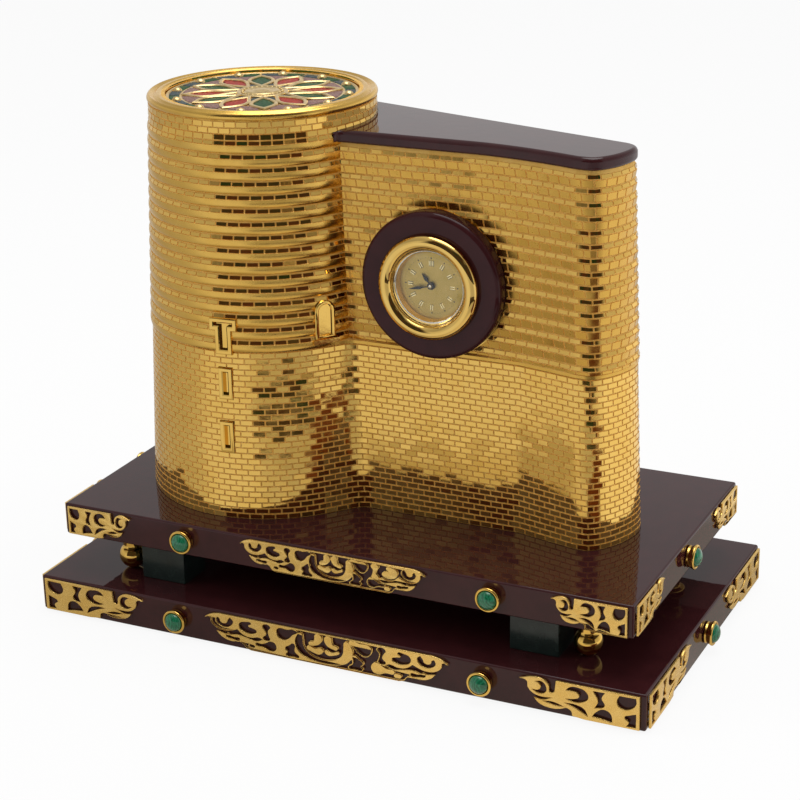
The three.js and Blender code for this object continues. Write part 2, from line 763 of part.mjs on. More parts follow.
function addOrnaments(clock) {
  const slabs = [
    ['lower', lowerSlabWidth, lowerSlabDepth, lowerSlabHeight, feltThickness,
      lowerCornerStoneGap, lowerCentreStoneGap],
    ['upper', upperSlabWidth, upperSlabDepth, upperSlabHeight, upperSlabBottom,
      upperCornerStoneGap, upperCentreStoneGap]];
  for (const [level, width, depth, height, bottom, cornerGap, centreGap] of slabs) {
    const cornerLength = width / 2 - plateCornerGap - stoneX - colletRadius - cornerGap;
    const centreLength = 2 * (stoneX - colletRadius - centreGap);
    const frontPlates = { corners: [['left', -1], ['right', 1]], cornerLength, centreLength };
    const front = edgeOrnaments(`${level}_front`, width, height, frontPlates,
      [['_left', -stoneX], ['_right', stoneX]]);
    front.rotation.x = Math.PI / 2;
    front.position.set(0, -depth / 2, bottom);
    clock.add(front);
    for (const [side, sign] of [['right', 1], ['left', -1]]) {
      const endPlates = { corners: [['front', -sign], ['back', sign]], cornerLength };
      const face = edgeOrnaments(`${level}_${side}`, depth, height, endPlates, [['', 0]]);
      face.rotation.set(Math.PI / 2, (sign * Math.PI) / 2, 0);
      face.position.set((sign * width) / 2, 0, bottom);
      clock.add(face);
    }
  }
}

// Clock. Its group's +Z comes out of the wall towards the viewer, and z = 0 is the ring's front.

const dialTop = crystalRise - crystalThickness - flangeDepth + seatGap;
const dialBottom = dialTop - dialThickness;
const hourHandBottom = dialTop + handSpacing;
const minuteHandBottom = hourHandBottom + handThickness + handSpacing;
const arborTop = minuteHandBottom + handThickness + seatGap / 2;
const hourWheelTop = dialBottom - seatGap;
const hourWheelBottom = hourWheelTop - wheelThickness;
const motionWheelTop = hourWheelBottom - seatGap;
const motionWheelBottom = motionWheelTop - wheelThickness;
const plateTop = motionWheelBottom - seatGap;
const plateBottom = plateTop - plateDepth;
const motionCentre = (timeModule * (cannonTeeth + motionTeeth)) / 2;
const hourModule = (2 * motionCentre) / (pinionTeeth + hourTeeth);
const pipeRadius = arborRadius + runningGap + pipeWall;

function timberRing() {
  const back = -ringThickness;
  const edge = ringEdgeRadius;
  const profile = [[boreRadius, back], [ringRadius, back]];
  const steps = 3;
  for (let i = 0; i <= steps; i += 1) {
    const angle = ((Math.PI / 2) * i) / steps;
    profile.push([ringRadius - edge + edge * Math.cos(angle), -edge + edge * Math.sin(angle)]);
  }
  profile.push([boreRadius, 0]);
  return turnedRing(profile, ringFacets);
}

function bezel() {
  const mouth = crystalRadius + seatGap;
  const middle = (bezelRadius + mouth) / 2;
  const half = (bezelRadius - mouth) / 2;
  const shoulder = bezelHeight - half;
  const profile = [[caseRadius - caseWall - seatGap, seatGap], [bezelRadius - seatGap, seatGap]];
  const steps = 5;
  for (let i = 0; i <= steps; i += 1) {
    const angle = (Math.PI * i) / steps;
    profile.push([middle + half * Math.cos(angle), shoulder + half * Math.sin(angle)]);
  }
  const crystalFoot = crystalRise - crystalThickness;
  const flangeFoot = crystalFoot - flangeDepth + 2 * seatGap;
  profile.push([mouth, crystalFoot - seatGap]);
  profile.push([crystalRadius - crystalThickness, crystalFoot - seatGap]);
  profile.push([crystalRadius - 2 * crystalThickness, flangeFoot]);
  profile.push([caseRadius - caseWall - seatGap, flangeFoot]);
  return turnedRing(profile, ringFacets);
}

function crystal() {
  const inside = dome(crystalRadius - crystalThickness, crystalRise - crystalThickness, crystalDome);
  const outside = dome(crystalRadius, crystalRise, crystalDome);
  return turned([...inside.reverse(), [crystalRadius, crystalRise - crystalThickness], ...outside],
    ringFacets);
}

function dial() {
  return turnedRing([
    [dialHoleRadius, dialBottom],
    [dialRadius, dialBottom],
    [dialRadius, dialTop],
    [dialHoleRadius, dialTop]], ringFacets);
}

function caseTube() {
  const inner = caseRadius - caseWall;
  const profile = [[inner, -caseDepth], [caseRadius, -caseDepth], [caseRadius, 0], [inner, 0]];
  return turnedRing(profile, ringFacets);
}

function gripBand() {
  const inner = caseRadius + seatGap;
  const outer = inner + bandThickness;
  const profile = [[inner, -bandTop - bandWidth]];
  const ridges = 2;
  for (let i = 0; i < ridges; i += 1) {
    const foot = -bandTop - bandWidth + (i * bandWidth) / ridges;
    profile.push([inner + bandThickness / 2, foot], [outer, foot + bandWidth / ridges / 2]);
  }
  profile.push([inner + bandThickness / 2, -bandTop], [inner, -bandTop]);
  return turnedRing(profile, ringFacets);
}

function backCap() {
  const top = -caseDepth - seatGap;
  const spigotRadius = caseRadius - caseWall - seatGap;
  const spigotInner = spigotRadius - caseWall;
  const cap = turned([
    [0, top - backCapThickness],
    [caseRadius, top - backCapThickness],
    [caseRadius, top],
    [spigotRadius, top],
    [spigotRadius, top + backCapSpigot],
    [spigotInner, top + backCapSpigot],
    [spigotInner, top],
    [0, top]], ringFacets);
  const hole = disc(stemRadius + seatGap, top - backCapThickness - cutOverrun, top + cutOverrun);
  return cut(cap, hole.translate(motionCentre, -motionCentre, 0));
}

// The movement's main plate, with the rim that carries the dial and the stud of the motion wheel.
function mainPlate() {
  const outer = caseRadius - caseWall - seatGap;
  const rimInner = outer - plateRimWidth;
  const plate = turned([
    [0, plateBottom],
    [outer, plateBottom],
    [outer, dialBottom],
    [rimInner, dialBottom],
    [rimInner, plateTop],
    [0, plateTop]], ringFacets);
  const stud = disc(studRadius, plateTop - cutOverrun, hourWheelTop).translate(0, -motionCentre, 0);
  const arborHole = disc(arborRadius + runningGap, plateBottom + pipeWall, plateTop + cutOverrun);
  const stemHole = disc(stemRadius + runningGap, plateBottom - cutOverrun, plateTop + cutOverrun);
  return cut(join(plate, stud), arborHole, stemHole.translate(motionCentre, -motionCentre, 0));
}

// A spur wheel's outline. The first tooth points along the given angle.
function wheelShape(teeth, module, firstTooth) {
  const pitchRadius = (teeth * module) / 2;
  const tip = pitchRadius + module * toothTipShare;
  const root = pitchRadius - module * toothRootShare;
  const toothShares = [[-toothRootWidth, root], [-toothTipWidth, tip], [toothTipWidth, tip],
    [toothRootWidth, root]];
  const points = [];
  for (let i = 0; i < teeth; i += 1) {
    for (const [share, radius] of toothShares) {
      const angle = firstTooth + ((i + share) * 2 * Math.PI) / teeth;
      points.push(new THREE.Vector2(radius * Math.cos(angle), radius * Math.sin(angle)));
    }
  }
  return new THREE.Shape(points);
}

function wheel(teeth, module, firstTooth, bottom, top) {
  return sheet(wheelShape(teeth, module, firstTooth), top - bottom).translate(0, 0, bottom);
}

function cannonPinion() {
  const teeth = wheel(cannonTeeth, timeModule, -Math.PI / 2, motionWheelBottom, motionWheelTop);
  const arbor = disc(arborRadius, plateBottom + pipeWall + seatGap, arborTop);
  return join(teeth, arbor);
}

function motionWheel() {
  const gapUp = Math.PI / 2 + Math.PI / motionTeeth;
  const flat = wheel(motionTeeth, timeModule, gapUp, motionWheelBottom, motionWheelTop);
  const pinion = wheel(pinionTeeth, hourModule, Math.PI / 2, motionWheelTop - seatGap, hourWheelTop);
  const hole = disc(studRadius + runningGap, motionWheelBottom - cutOverrun, hourWheelTop + cutOverrun);
  return cut(join(flat, pinion), hole);
}

function hourWheel() {
  const gapDown = -Math.PI / 2 + Math.PI / hourTeeth;
  const teeth = wheel(hourTeeth, hourModule, gapDown, hourWheelBottom, hourWheelTop);
  const pipe = disc(pipeRadius, hourWheelBottom, hourHandBottom + handThickness);
  const hole = disc(arborRadius + runningGap, hourWheelBottom - cutOverrun, arborTop + cutOverrun);
  return cut(join(teeth, pipe), hole);
}

// The angle of the setting pinion's first tooth: its gap meets the motion wheel's tooth beside it.
function settingPhase() {
  const pitches = ((Math.PI / 2 + Math.PI / motionTeeth) * motionTeeth) / (2 * Math.PI);
  return Math.PI + ((0.5 - (pitches % 1)) * 2 * Math.PI) / cannonTeeth;
}

function settingKnob() {
  const capUnder = -caseDepth - seatGap - backCapThickness;
  const knobTop = capUnder - seatGap;
  const knobFoot = knobTop - knobHeight;
  const pinion = wheel(cannonTeeth, timeModule, settingPhase(), motionWheelBottom, motionWheelTop);
  const stem = turned([
    [0, knobFoot],
    [knobRadius - seatGap, knobFoot],
    [knobRadius, knobFoot + seatGap],
    [knobRadius, knobTop],
    [stemRadius, knobTop],
    [stemRadius, motionWheelTop],
    [0, motionWheelTop]], smallFacets);
  return join(stem, pinion);
}

function battery() {
  return disc(batteryRadius, plateBottom - seatGap - batteryHeight, plateBottom - seatGap);
}

// A leaf hand along +Y with its hub, turned clockwise to its angle.
function hand(length, holeRadius, bottom, turn) {
  const leafShares = [[0.22, 0], [0.16, 0.28], [0.5, 0.52], [0.34, 0.76], [0, 1]];
  const right = leafShares.map(([across, along]) => [across * handWidth, along * length]);
  const left = right.slice(0, -1).reverse().map(([x, y]) => [-x, y]);
  const leaf = sheet(polygon([...right, ...left]), handThickness);
  const hub = disc(hubRadius + holeRadius / 2, 0, handThickness);
  const hole = disc(holeRadius, -cutOverrun, cutOverrun);
  return cut(join(leaf, hub), hole).rotateZ(-turn).translate(0, 0, bottom);
}

function addClock(clock) {
  const insert = new THREE.Group();
  insert.rotation.x = Math.PI / 2;
  insert.position.set(clockX, -clockFront, clockZ);
  const minuteTurn = (2 * Math.PI * shownMinute) / 60;
  const hourTurn = (2 * Math.PI * (shownHour + shownMinute / 60)) / 12;
  const handGap = runningGap / 2;
  const minuteHand = hand(minuteHandLength, arborRadius + handGap, minuteHandBottom, minuteTurn);
  const hourHand = hand(hourHandLength, pipeRadius + handGap, hourHandBottom, hourTurn);
  insert.add(
    meshOf('clock_ring', timberRing(), lacquer),
    meshOf('bezel', bezel(), gold),
    meshOf('crystal', crystal(), glass),
    meshOf('dial', dial(), gold),
    meshOf('insert_case', caseTube(), brass),
    meshOf('grip_band', gripBand(), rubber),
    meshOf('back_cap', backCap(), plastic),
    meshOf('main_plate', mainPlate(), plastic),
    meshOf('battery', battery().translate(batteryX, batteryY, 0), steel),
    meshOf('cannon_pinion', cannonPinion(), brass),
    meshOf('minute_hand', minuteHand, blackMetal),
    meshOf('hour_wheel', hourWheel(), brass),
    meshOf('hour_hand', hourHand, blackMetal),
    meshOf('motion_wheel', motionWheel().translate(0, -motionCentre, 0), brass),
    meshOf('setting_knob', settingKnob().translate(motionCentre, -motionCentre, 0), plastic));
  clock.add(insert);
}

const tableClock = new THREE.Group();
addBase(tableClock);
addBuilding(tableClock);
addOrnaments(tableClock);
addClock(tableClock);

export default tableClock;
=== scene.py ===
import bisect
import math
import random

import bmesh
import bpy
from mathutils import Matrix, Vector


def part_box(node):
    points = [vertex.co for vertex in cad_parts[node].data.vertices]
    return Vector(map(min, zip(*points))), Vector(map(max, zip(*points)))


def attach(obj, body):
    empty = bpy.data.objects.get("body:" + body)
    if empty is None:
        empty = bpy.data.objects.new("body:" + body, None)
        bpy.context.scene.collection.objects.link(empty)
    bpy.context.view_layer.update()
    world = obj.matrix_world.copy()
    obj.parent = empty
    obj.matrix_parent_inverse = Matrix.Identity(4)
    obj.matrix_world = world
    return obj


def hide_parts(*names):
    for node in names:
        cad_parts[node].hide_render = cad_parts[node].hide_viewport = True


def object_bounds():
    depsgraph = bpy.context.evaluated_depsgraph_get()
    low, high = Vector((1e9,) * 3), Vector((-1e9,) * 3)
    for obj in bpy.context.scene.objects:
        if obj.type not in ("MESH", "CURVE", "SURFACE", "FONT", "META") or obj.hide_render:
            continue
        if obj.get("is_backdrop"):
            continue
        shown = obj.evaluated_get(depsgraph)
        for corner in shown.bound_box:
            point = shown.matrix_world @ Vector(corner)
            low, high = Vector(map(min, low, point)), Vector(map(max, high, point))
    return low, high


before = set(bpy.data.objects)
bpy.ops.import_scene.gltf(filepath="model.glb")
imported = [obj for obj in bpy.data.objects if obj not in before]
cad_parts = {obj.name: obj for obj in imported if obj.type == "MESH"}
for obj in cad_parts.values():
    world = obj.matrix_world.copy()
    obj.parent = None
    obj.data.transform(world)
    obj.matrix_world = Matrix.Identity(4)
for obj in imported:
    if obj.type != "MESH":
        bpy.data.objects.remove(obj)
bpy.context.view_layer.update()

# Camera. It stands a little above the clock and to its right, about a metre off, and leans by a
# degree. Its place is worked out for a square picture of 800 pixels.
MM = 0.001
picture_pixels = 800
focal_pixels = 2082.18
yaw, pitch, roll = 0.44898, 0.35590, -0.02050
camera_place = Vector((412.95, -857.00, 457.99)) * MM

ahead = Vector((-math.sin(yaw) * math.cos(pitch), math.cos(yaw) * math.cos(pitch), -math.sin(pitch)))
level = Vector((math.cos(yaw), math.sin(yaw), 0))
upward = level.cross(ahead)
rightward = math.cos(roll) * level + math.sin(roll) * upward
upward = rightward.cross(ahead)
camera = bpy.data.objects.new("camera", bpy.data.cameras.new("camera"))
camera.data.sensor_width = 36
camera.data.lens = focal_pixels / picture_pixels * camera.data.sensor_width
camera.data.clip_end = 50
camera.matrix_world = Matrix.Translation(camera_place) @ Matrix(
    (rightward, upward, -ahead)).transposed().to_4x4()
bpy.context.scene.collection.objects.link(camera)
bpy.context.scene.camera = camera
bpy.context.scene.view_settings.view_transform = "Standard"


# Studio. A white floor in a pale room, with one wide soft lamp overhead and one on each side. The
# polished gold mirrors more than that: dim furniture in the front of the room, a brighter back,
# and a floor with painted light near the clock and painted dim patches farther off, which the
# floor shows only to mirrors.
def node(tree, kind, **settings):
    made = tree.nodes.new(kind)
    for name, value in settings.items():
        setattr(made, name, value)
    return made


def wire(tree, *pairs):
    for source, target in pairs:
        tree.links.new(source, target)


def feed(tree, value, socket):
    """Wires another socket to a socket, or sets a constant on it."""
    if hasattr(value, "is_linked"):
        wire(tree, (value, socket))
    else:
        socket.default_value = value


def ramp(tree, source, stops):
    made = node(tree, "ShaderNodeValToRGB")
    while len(made.color_ramp.elements) < len(stops):
        made.color_ramp.elements.new(0.5)
    for element, (place, shade) in zip(made.color_ramp.elements, stops):
        element.position = place
        element.color = (*shade, 1) if hasattr(shade, "__len__") else (shade, shade, shade, 1)
    wire(tree, (source, made.inputs[0]))
    return made.outputs["Color"]


def band(tree, source, start, stop, soft):
    """1 between two values and 0 outside them, with soft ends."""
    return ramp(tree, source, [(start, 0.0), (start + soft, 1.0), (stop - soft, 1.0), (stop, 0.0)])


def calculate(tree, operation, *terms):
    made = node(tree, "ShaderNodeMath", operation=operation)
    for term, socket in zip(terms, made.inputs):
        feed(tree, term, socket)
    return made.outputs[0]


def mixed(tree, factor, first, second):
    made = node(tree, "ShaderNodeMix", data_type="RGBA")
    for value, place in ((factor, 0), (first, 6), (second, 7)):
        feed(tree, value, made.inputs[place])
    return made.outputs[2]


def blended(tree, share, first, second):
    made = node(tree, "ShaderNodeMixShader")
    wire(tree, (share, made.inputs[0]), (first, made.inputs[1]), (second, made.inputs[2]))
    return made.outputs[0]


def lit(tree, kind, colour):
    made = node(tree, kind)
    feed(tree, colour, made.inputs["Color"])
    return made.outputs[0]


def parts_of(tree, vector):
    split = node(tree, "ShaderNodeSeparateXYZ")
    wire(tree, (vector, split.inputs[0]))
    return split.outputs


def towards(tree, direction, azimuth):
    """How far a direction points to an azimuth in degrees: 1 is straight at it, 0 is away."""
    made = node(tree, "ShaderNodeVectorMath", operation="DOT_PRODUCT")
    turn = math.radians(azimuth)
    made.inputs[1].default_value = (math.cos(turn), math.sin(turn), 0)
    wire(tree, (direction, made.inputs[0]))
    return calculate(tree, "MULTIPLY_ADD", made.outputs["Value"], 0.5, 0.5)


def seen_directly(tree, path):
    return calculate(tree, "MAXIMUM", path.outputs["Is Camera Ray"], path.outputs["Is Transmission Ray"])


def clutter_and_painted_shade(tree, vector, scale):
    """Dim blotchy shades: in the room those of furniture and curtains, on the floor painted shade."""
    noise = node(tree, "ShaderNodeTexNoise")
    noise.inputs["Scale"].default_value = scale
    noise.inputs["Detail"].default_value = 1.0
    wire(tree, (vector, noise.inputs["Vector"]))
    return ramp(tree, noise.outputs["Fac"], [
        (0.38, (0.018, 0.04, 0.03)), (0.46, (0.08, 0.03, 0.025)), (0.54, (0.025, 0.03, 0.03)),
        (0.66, (0.09, 0.06, 0.04)), (0.73, (0.40, 0.36, 0.31))])


WHITE = (1, 1, 1, 1)
world = bpy.data.worlds.new("room")
world.use_nodes = True
bpy.context.scene.world = world
tree = world.node_tree
tree.nodes.clear()
path = node(tree, "ShaderNodeLightPath")
direction = node(tree, "ShaderNodeTexCoord").outputs["Generated"]
x, y, z = parts_of(tree, direction)
back_share = calculate(tree, "MULTIPLY_ADD", y, 0.5, 0.5)
front_to_back = ramp(tree, back_share, [(0.0, 0.56), (0.6, 0.58), (0.9, 0.80), (1.0, 0.86)])
low_to_high = ramp(tree, z, [(0.20, 1.0), (0.45, 0.64), (0.75, 0.75), (0.95, 1.1)])
# A direction's share of a turn: 0.25 is the front, 0.5 the right and 0.75 the back.
turn_share = calculate(tree, "MULTIPLY_ADD", calculate(tree, "ARCTAN2", y, x), 0.5 / math.pi, 0.5)
lit_front = ramp(tree, turn_share, [(0.13, 1.0), (0.165, 1.13), (0.445, 1.13), (0.46, 1.0)])
walls = calculate(tree, "MULTIPLY", calculate(tree, "MULTIPLY", front_to_back, lit_front), low_to_high)
furnished = calculate(tree, "MULTIPLY", band(tree, turn_share, 0.175, 0.46, 0.015),
                      ramp(tree, z, [(0.74, 1.0), (0.86, 0.0)]))
mirrored = lit(tree, "ShaderNodeBackground", mixed(tree, furnished, walls, clutter_and_painted_shade(tree, direction, 5.0)))
plain = lit(tree, "ShaderNodeBackground", (0.62, 0.62, 0.62, 1))
room_light = blended(tree, path.outputs["Is Glossy Ray"], plain, mirrored)
backdrop = lit(tree, "ShaderNodeBackground", WHITE)
room_light = blended(tree, seen_directly(tree, path), room_light, backdrop)
wire(tree, (room_light, node(tree, "ShaderNodeOutputWorld").inputs["Surface"]))

reach = 6.0
floor_mesh = bpy.data.meshes.new("floor")
floor_mesh.from_pydata(
    [(-reach, -reach, 0), (reach, -reach, 0), (reach, reach, 0), (-reach, reach, 0)], [], [(0, 1, 2, 3)])
floor = bpy.data.objects.new("floor", floor_mesh)
bpy.context.scene.collection.objects.link(floor)
floor_paint = bpy.data.materials.new("floor_paper")
floor_paint.use_nodes = True
tree = floor_paint.node_tree
paper = tree.nodes["Principled BSDF"]
paper.inputs["Base Color"].default_value = (0.82, 0.82, 0.82, 1)
paper.inputs["Roughness"].default_value = 0.9
path = node(tree, "ShaderNodeLightPath")
position = node(tree, "ShaderNodeTexCoord").outputs["Object"]
x, y, _ = parts_of(tree, position)
length = node(tree, "ShaderNodeVectorMath", operation="LENGTH")
unit = node(tree, "ShaderNodeVectorMath", operation="NORMALIZE")
wire(tree, (position, length.inputs[0]), (position, unit.inputs[0]))
away, heading = length.outputs["Value"], unit.outputs[0]
# Painted light and shade that the floor shows only to mirrors, changing with heading: one set near the
# clock and another farther off.
painted_near_light = ramp(tree, towards(tree, heading, -50), [
    (0.74, (0.42, 0.39, 0.33)), (0.96, (0.70, 0.65, 0.57))])
painted_far_light = calculate(
    tree, "MULTIPLY", ramp(tree, towards(tree, heading, -110), [
        (0.0, 0.66), (0.35, 0.62), (0.6, 0.44), (0.885, 0.49), (0.94, 0.56), (0.975, 0.72), (1.0, 0.74)]),
    ramp(tree, towards(tree, heading, 15), [(0.78, 1.0), (0.88, 1.5)]))
shade = mixed(tree, ramp(tree, away, [(0.23, 0.0), (0.28, 1.0)]), painted_near_light, painted_far_light)
# A red-brown patch to the right, painted on the floor for mirrors only, shows as painted shade in
# the corner between the tower and the wall.
painted_crease_shade = calculate(tree, "MULTIPLY", band(tree, x, 0.19, 0.41, 0.01),
                        band(tree, calculate(tree, "MULTIPLY", y, -1.0), 0.07, 0.21, 0.01))
shade = mixed(tree, painted_crease_shade, shade, (0.11, 0.035, 0.018, 1))
# A dim patch farther off, painted on the floor for mirrors only, shows as painted shade: the dark
# strip down the wall's nose.
dim_side = ramp(tree, towards(tree, heading, -58), [(0.934, 0.0), (0.942, 1.0)])
painted_nose_shade = calculate(tree, "MULTIPLY", dim_side, band(tree, away, 0.40, 0.55, 0.01))
shade = mixed(tree, painted_nose_shade, shade, clutter_and_painted_shade(tree, position, 14.0))
# Mirrors see the painted light and shade as the floor's glow; the camera sees the glow mostly white.
mirrors = path.outputs["Is Glossy Ray"]
glow = lit(tree, "ShaderNodeEmission", mixed(tree, mirrors, WHITE, shade))
glow_share = calculate(tree, "MULTIPLY", seen_directly(tree, path), 0.9)
glow_share = calculate(tree, "MAXIMUM", glow_share, mirrors)
wire(tree, (blended(tree, glow_share, paper.outputs[0], glow),
            tree.nodes["Material Output"].inputs["Surface"]))
floor.data.materials.append(floor_paint)
floor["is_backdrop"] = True

for name, place, size, watts, mirrored_too in [
        ("lamp_top", (0.1, 0.1, 1.5), 1.1, 9, True),
        ("lamp_left", (-1.3, -0.7, 0.9), 0.7, 5, False),
        ("lamp_right", (1.4, 0.35, 0.75), 0.6, 5, False)]:
    lamp = bpy.data.objects.new(name, bpy.data.lights.new(name, "AREA"))
    lamp.data.shape = "DISK"
    lamp.data.size = size
    lamp.data.energy = watts
    lamp.visible_glossy = mirrored_too
    lamp.location = place
    clock_middle = Vector((0, 0, 0.12))
    lamp.rotation_euler = (clock_middle - lamp.location).to_track_quat("-Z", "Y").to_euler()
    bpy.context.scene.collection.objects.link(lamp)


# Felt. One sheet of green felt, glued under the lower slab a little in from its edges, so that
# the clock doesn't scratch the desk. It is pressed wool, and its fibres show as a fine nap.
def new_piece(name, mesh):
    piece = bpy.data.objects.new(name, mesh)
    bpy.context.scene.collection.objects.link(piece)
    return piece


def piece_from(build, name, place=None):
    """Makes a piece of what was built, set in place by a matrix."""
    mesh = bpy.data.meshes.new(name)
    build.to_mesh(mesh)
    build.free()
    if place is not None:
        mesh.transform(place)
    mesh.shade_smooth()
    return new_piece(name, mesh)


def settle(piece, finish, body, slot, *nodes):
    """Gives a piece its finish and says which body carries it and which solids it stands for."""
    if not any(piece.data.materials):
        piece.data.materials.clear()
        piece.data.materials.append(finish)
    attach(piece, body)
    if nodes:
        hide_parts(*nodes)
    return piece


def even_shading(piece):
    """Lets the wide faces set the shading, so that flats stay flat beside their rounded edges."""
    weigh = piece.modifiers.new("even_shading", "WEIGHTED_NORMAL")
    weigh.weight = 100
    weigh.mode = "FACE_AREA"
    return piece


def block(name, low, high, edge, steps):
    """A box between two corners, with every edge rounded."""
    build = bmesh.new()
    bmesh.ops.create_cube(build, size=1)
    for corner in build.verts:
        corner.co = Vector([a if c < 0 else b for a, b, c in zip(low, high, corner.co)]) * MM
    bmesh.ops.bevel(build, geom=build.edges[:], offset=edge * MM, segments=steps, profile=0.5,
                    affect="EDGES")
    return even_shading(piece_from(build, name))


def corners(name):
    low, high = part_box(name)
    return low / MM, high / MM


def grain_of(tree, grain, detail):
    place = node(tree, "ShaderNodeTexCoord")
    noise = node(tree, "ShaderNodeTexNoise")
    noise.inputs["Scale"].default_value = 1 / (grain * MM)
    noise.inputs["Detail"].default_value = detail
    wire(tree, (place.outputs["Object"], noise.inputs["Vector"]))
    return noise.outputs["Fac"]


def mottle(tree, socket, patch, low, high):
    """Lets a colour or a value wander between two shades, in patches of a size in mm."""
    wire(tree, (ramp(tree, grain_of(tree, patch, 3.0), [(0.3, low), (0.7, high)]), socket))


def ripple(tree, shader, wave, height, detail=2.0, socket="Normal"):
    """A relief of fine waves, with their length and height in mm."""
    bump = node(tree, "ShaderNodeBump")
    bump.inputs["Distance"].default_value = height * MM
    wire(tree, (grain_of(tree, wave, detail), bump.inputs["Height"]),
         (bump.outputs["Normal"], shader.inputs[socket]))


def finish_of(name, patch, shades, rough_patch, rough, metallic=0.0, waves=(), more=()):
    """A finish whose colour and roughness wander in patches, with a relief of waves."""
    material = bpy.data.materials.new(name)
    material.use_nodes = True
    tree = material.node_tree
    shader = tree.nodes["Principled BSDF"]
    for socket, size, values in (("Base Color", patch, shades), ("Roughness", rough_patch, rough)):
        if size:
            mottle(tree, shader.inputs[socket], size, *values)
    for socket, value in (("Metallic", metallic), *more):
        shader.inputs[socket].default_value = value
    if waves:
        ripple(tree, shader, *waves)
    return material


felt_finish = finish_of("felt_wool", 1.2, ((0.012, 0.045, 0.026), (0.03, 0.095, 0.055)), None, None,
                        waves=(0.35, 0.25, 5.0), more=[("Roughness", 1.0), ("Sheen Weight", 0.3)])
low, high = corners("base_felt")
felt = settle(block("felt_sheet", low, high, 0.25, 2), felt_finish, "base", "felt", "base_felt")


# Slabs. Two boards of lacquered wood, burgundy brown and polished to a mirror. Each is one
# board with softened edges, and the upper one stands on feet and risers above the lower.
def lacquer_finish(name, coat):
    return finish_of(name, 9, ((0.031, 0.0075, 0.0085), (0.040, 0.0095, 0.0105)), 3, (0.25, 0.35),
                     waves=(5, 0.012, 1.0, "Coat Normal"),
                     more=[("Coat Weight", coat), ("Coat Roughness", 0.03), ("Coat IOR", 1.42),
                           ("Specular IOR Level", 0.0)])


lacquer = lacquer_finish("burgundy_lacquer", 1.0)
slab_edge = 1.1
for name in ("lower_slab", "upper_slab"):
    settle(block(name + "_board", *corners(name), slab_edge, 4), lacquer, "base", "lacquer", name)


# Ball feet. Four turned brass feet, gilt and polished: a ball that rests on the lower slab, with
# a neck up to the round pad that is screwed under the upper slab.
def turned(name, profile, place, facets=64, closed=False):
    """A piece turned about its local Z from [radius, height] pairs, set in place by a matrix."""
    build = bmesh.new()
    turns = [2 * math.pi * i / facets for i in range(facets)]
    rows = []
    for radius, height in profile:
        row = turns if radius > 0 else turns[:1]
        rows.append([build.verts.new((radius * MM * math.cos(a), radius * MM * math.sin(a), height * MM))
                     for a in row])
    for a, b in list(zip(rows, rows[1:])) + ([(rows[-1], rows[0])] if closed else []):
        for i in range(facets):
            ring = [a[i % len(a)], a[(i + 1) % len(a)], b[(i + 1) % len(b)], b[i % len(b)]]
            unique = list(dict.fromkeys(ring))
            if len(unique) > 2:
                build.faces.new(unique)
    bmesh.ops.recalc_face_normals(build, faces=build.faces[:])
    return even_shading(piece_from(build, name, place))


def arc(middle, radius, start, stop, steps):
    """Points of a circular arc in a profile, with its angles in degrees from the radius line."""
    turns = [math.radians(start + (stop - start) * i / steps) for i in range(steps + 1)]
    return [(middle[0] + radius * math.cos(a), middle[1] + radius * math.sin(a)) for a in turns]


def at(x, y, z):
    return Matrix.Translation(Vector((x, y, z)) * MM)


gold = finish_of("polished_gold", 14, ((0.88, 0.54, 0.12), (0.93, 0.60, 0.155)), 5, (0.04, 0.09), 1.0,
                 waves=(1.6, 0.008))
foot_ball, foot_neck, foot_pad, pad_height, pad_edge = 6.8, 4.6, 7.1, 2.4, 0.8
ends_and_sides = [f"{end}_{side}" for end in ("front", "back") for side in ("left", "right")]
for corner in ends_and_sides:
    low, high = corners("ball_foot_" + corner)
    middle, height = (low + high) / 2, high.z - low.z
    pad_foot = height - pad_height
    ball = arc((0, foot_ball), foot_ball, -74, 46, 16)
    profile = [(0, 0), (ball[0][0] - 0.3, 0), *ball, (foot_neck, ball[-1][1] + 0.9),
               (foot_neck - 0.1, pad_foot - 0.7), (foot_neck + 0.5, pad_foot),
               *arc((foot_pad - pad_edge, pad_foot + pad_edge), pad_edge, -90, 0, 4),
               (foot_pad, height), (0, height)]
    settle(turned("turned_ball_foot_" + corner, profile, at(middle.x, middle.y, low.z)),
           gold, "base", "gold", "ball_foot_" + corner)


# Risers. Four wooden blocks beside the feet that carry the upper slab. They are painted black
# with a faint green tone and stand back from the edge, where they hardly show.
riser_paint = finish_of("riser_paint", 6, ((0.008, 0.013, 0.0115), (0.013, 0.021, 0.018)), 4,
                        (0.15, 0.25), waves=(3, 0.01))
for corner in ends_and_sides:
    settle(block("painted_riser_" + corner, *corners("riser_" + corner), 0.5, 2),
           riser_paint, "base", "riser_black", "riser_" + corner)


# Casting. The round tower and the spur wall are one hollow casting, gilt and polished. Courses of
# small bricks lie in plain bond below. Above the ledge a smooth course and a brick course make
# each rib on the tower, and two brick courses on the wall.
tower_x, tower_y = -70.4, 1.9
tower_foot, tower_top = 55.6, 252.6
foot_radius, top_radius = 62.5, 54.0
plain_height, plain_courses, collar_courses = 83.4, 30, 3
plain_top = tower_foot + plain_height
rib_pitch, tower_ribs, wall_ribs = 6.3, 16, 15
rib_foot, rib_lower_share = 0.05, 0.64
rib_top = plain_top + tower_ribs * rib_pitch
rim_foot = tower_top - 4.0
ledge_top = plain_top + 2.0
cap_foot, cap_height = 235.0, 6.0
shell = 3.2
brick_length = 5.8
joint_half, joint_depth, slope = 0.27, 0.36, 0.10
tilt_across, tilt_up, push_most, wobble_most = 0.045, 0.022, 0.02, 0.04
chance = random.Random(11)

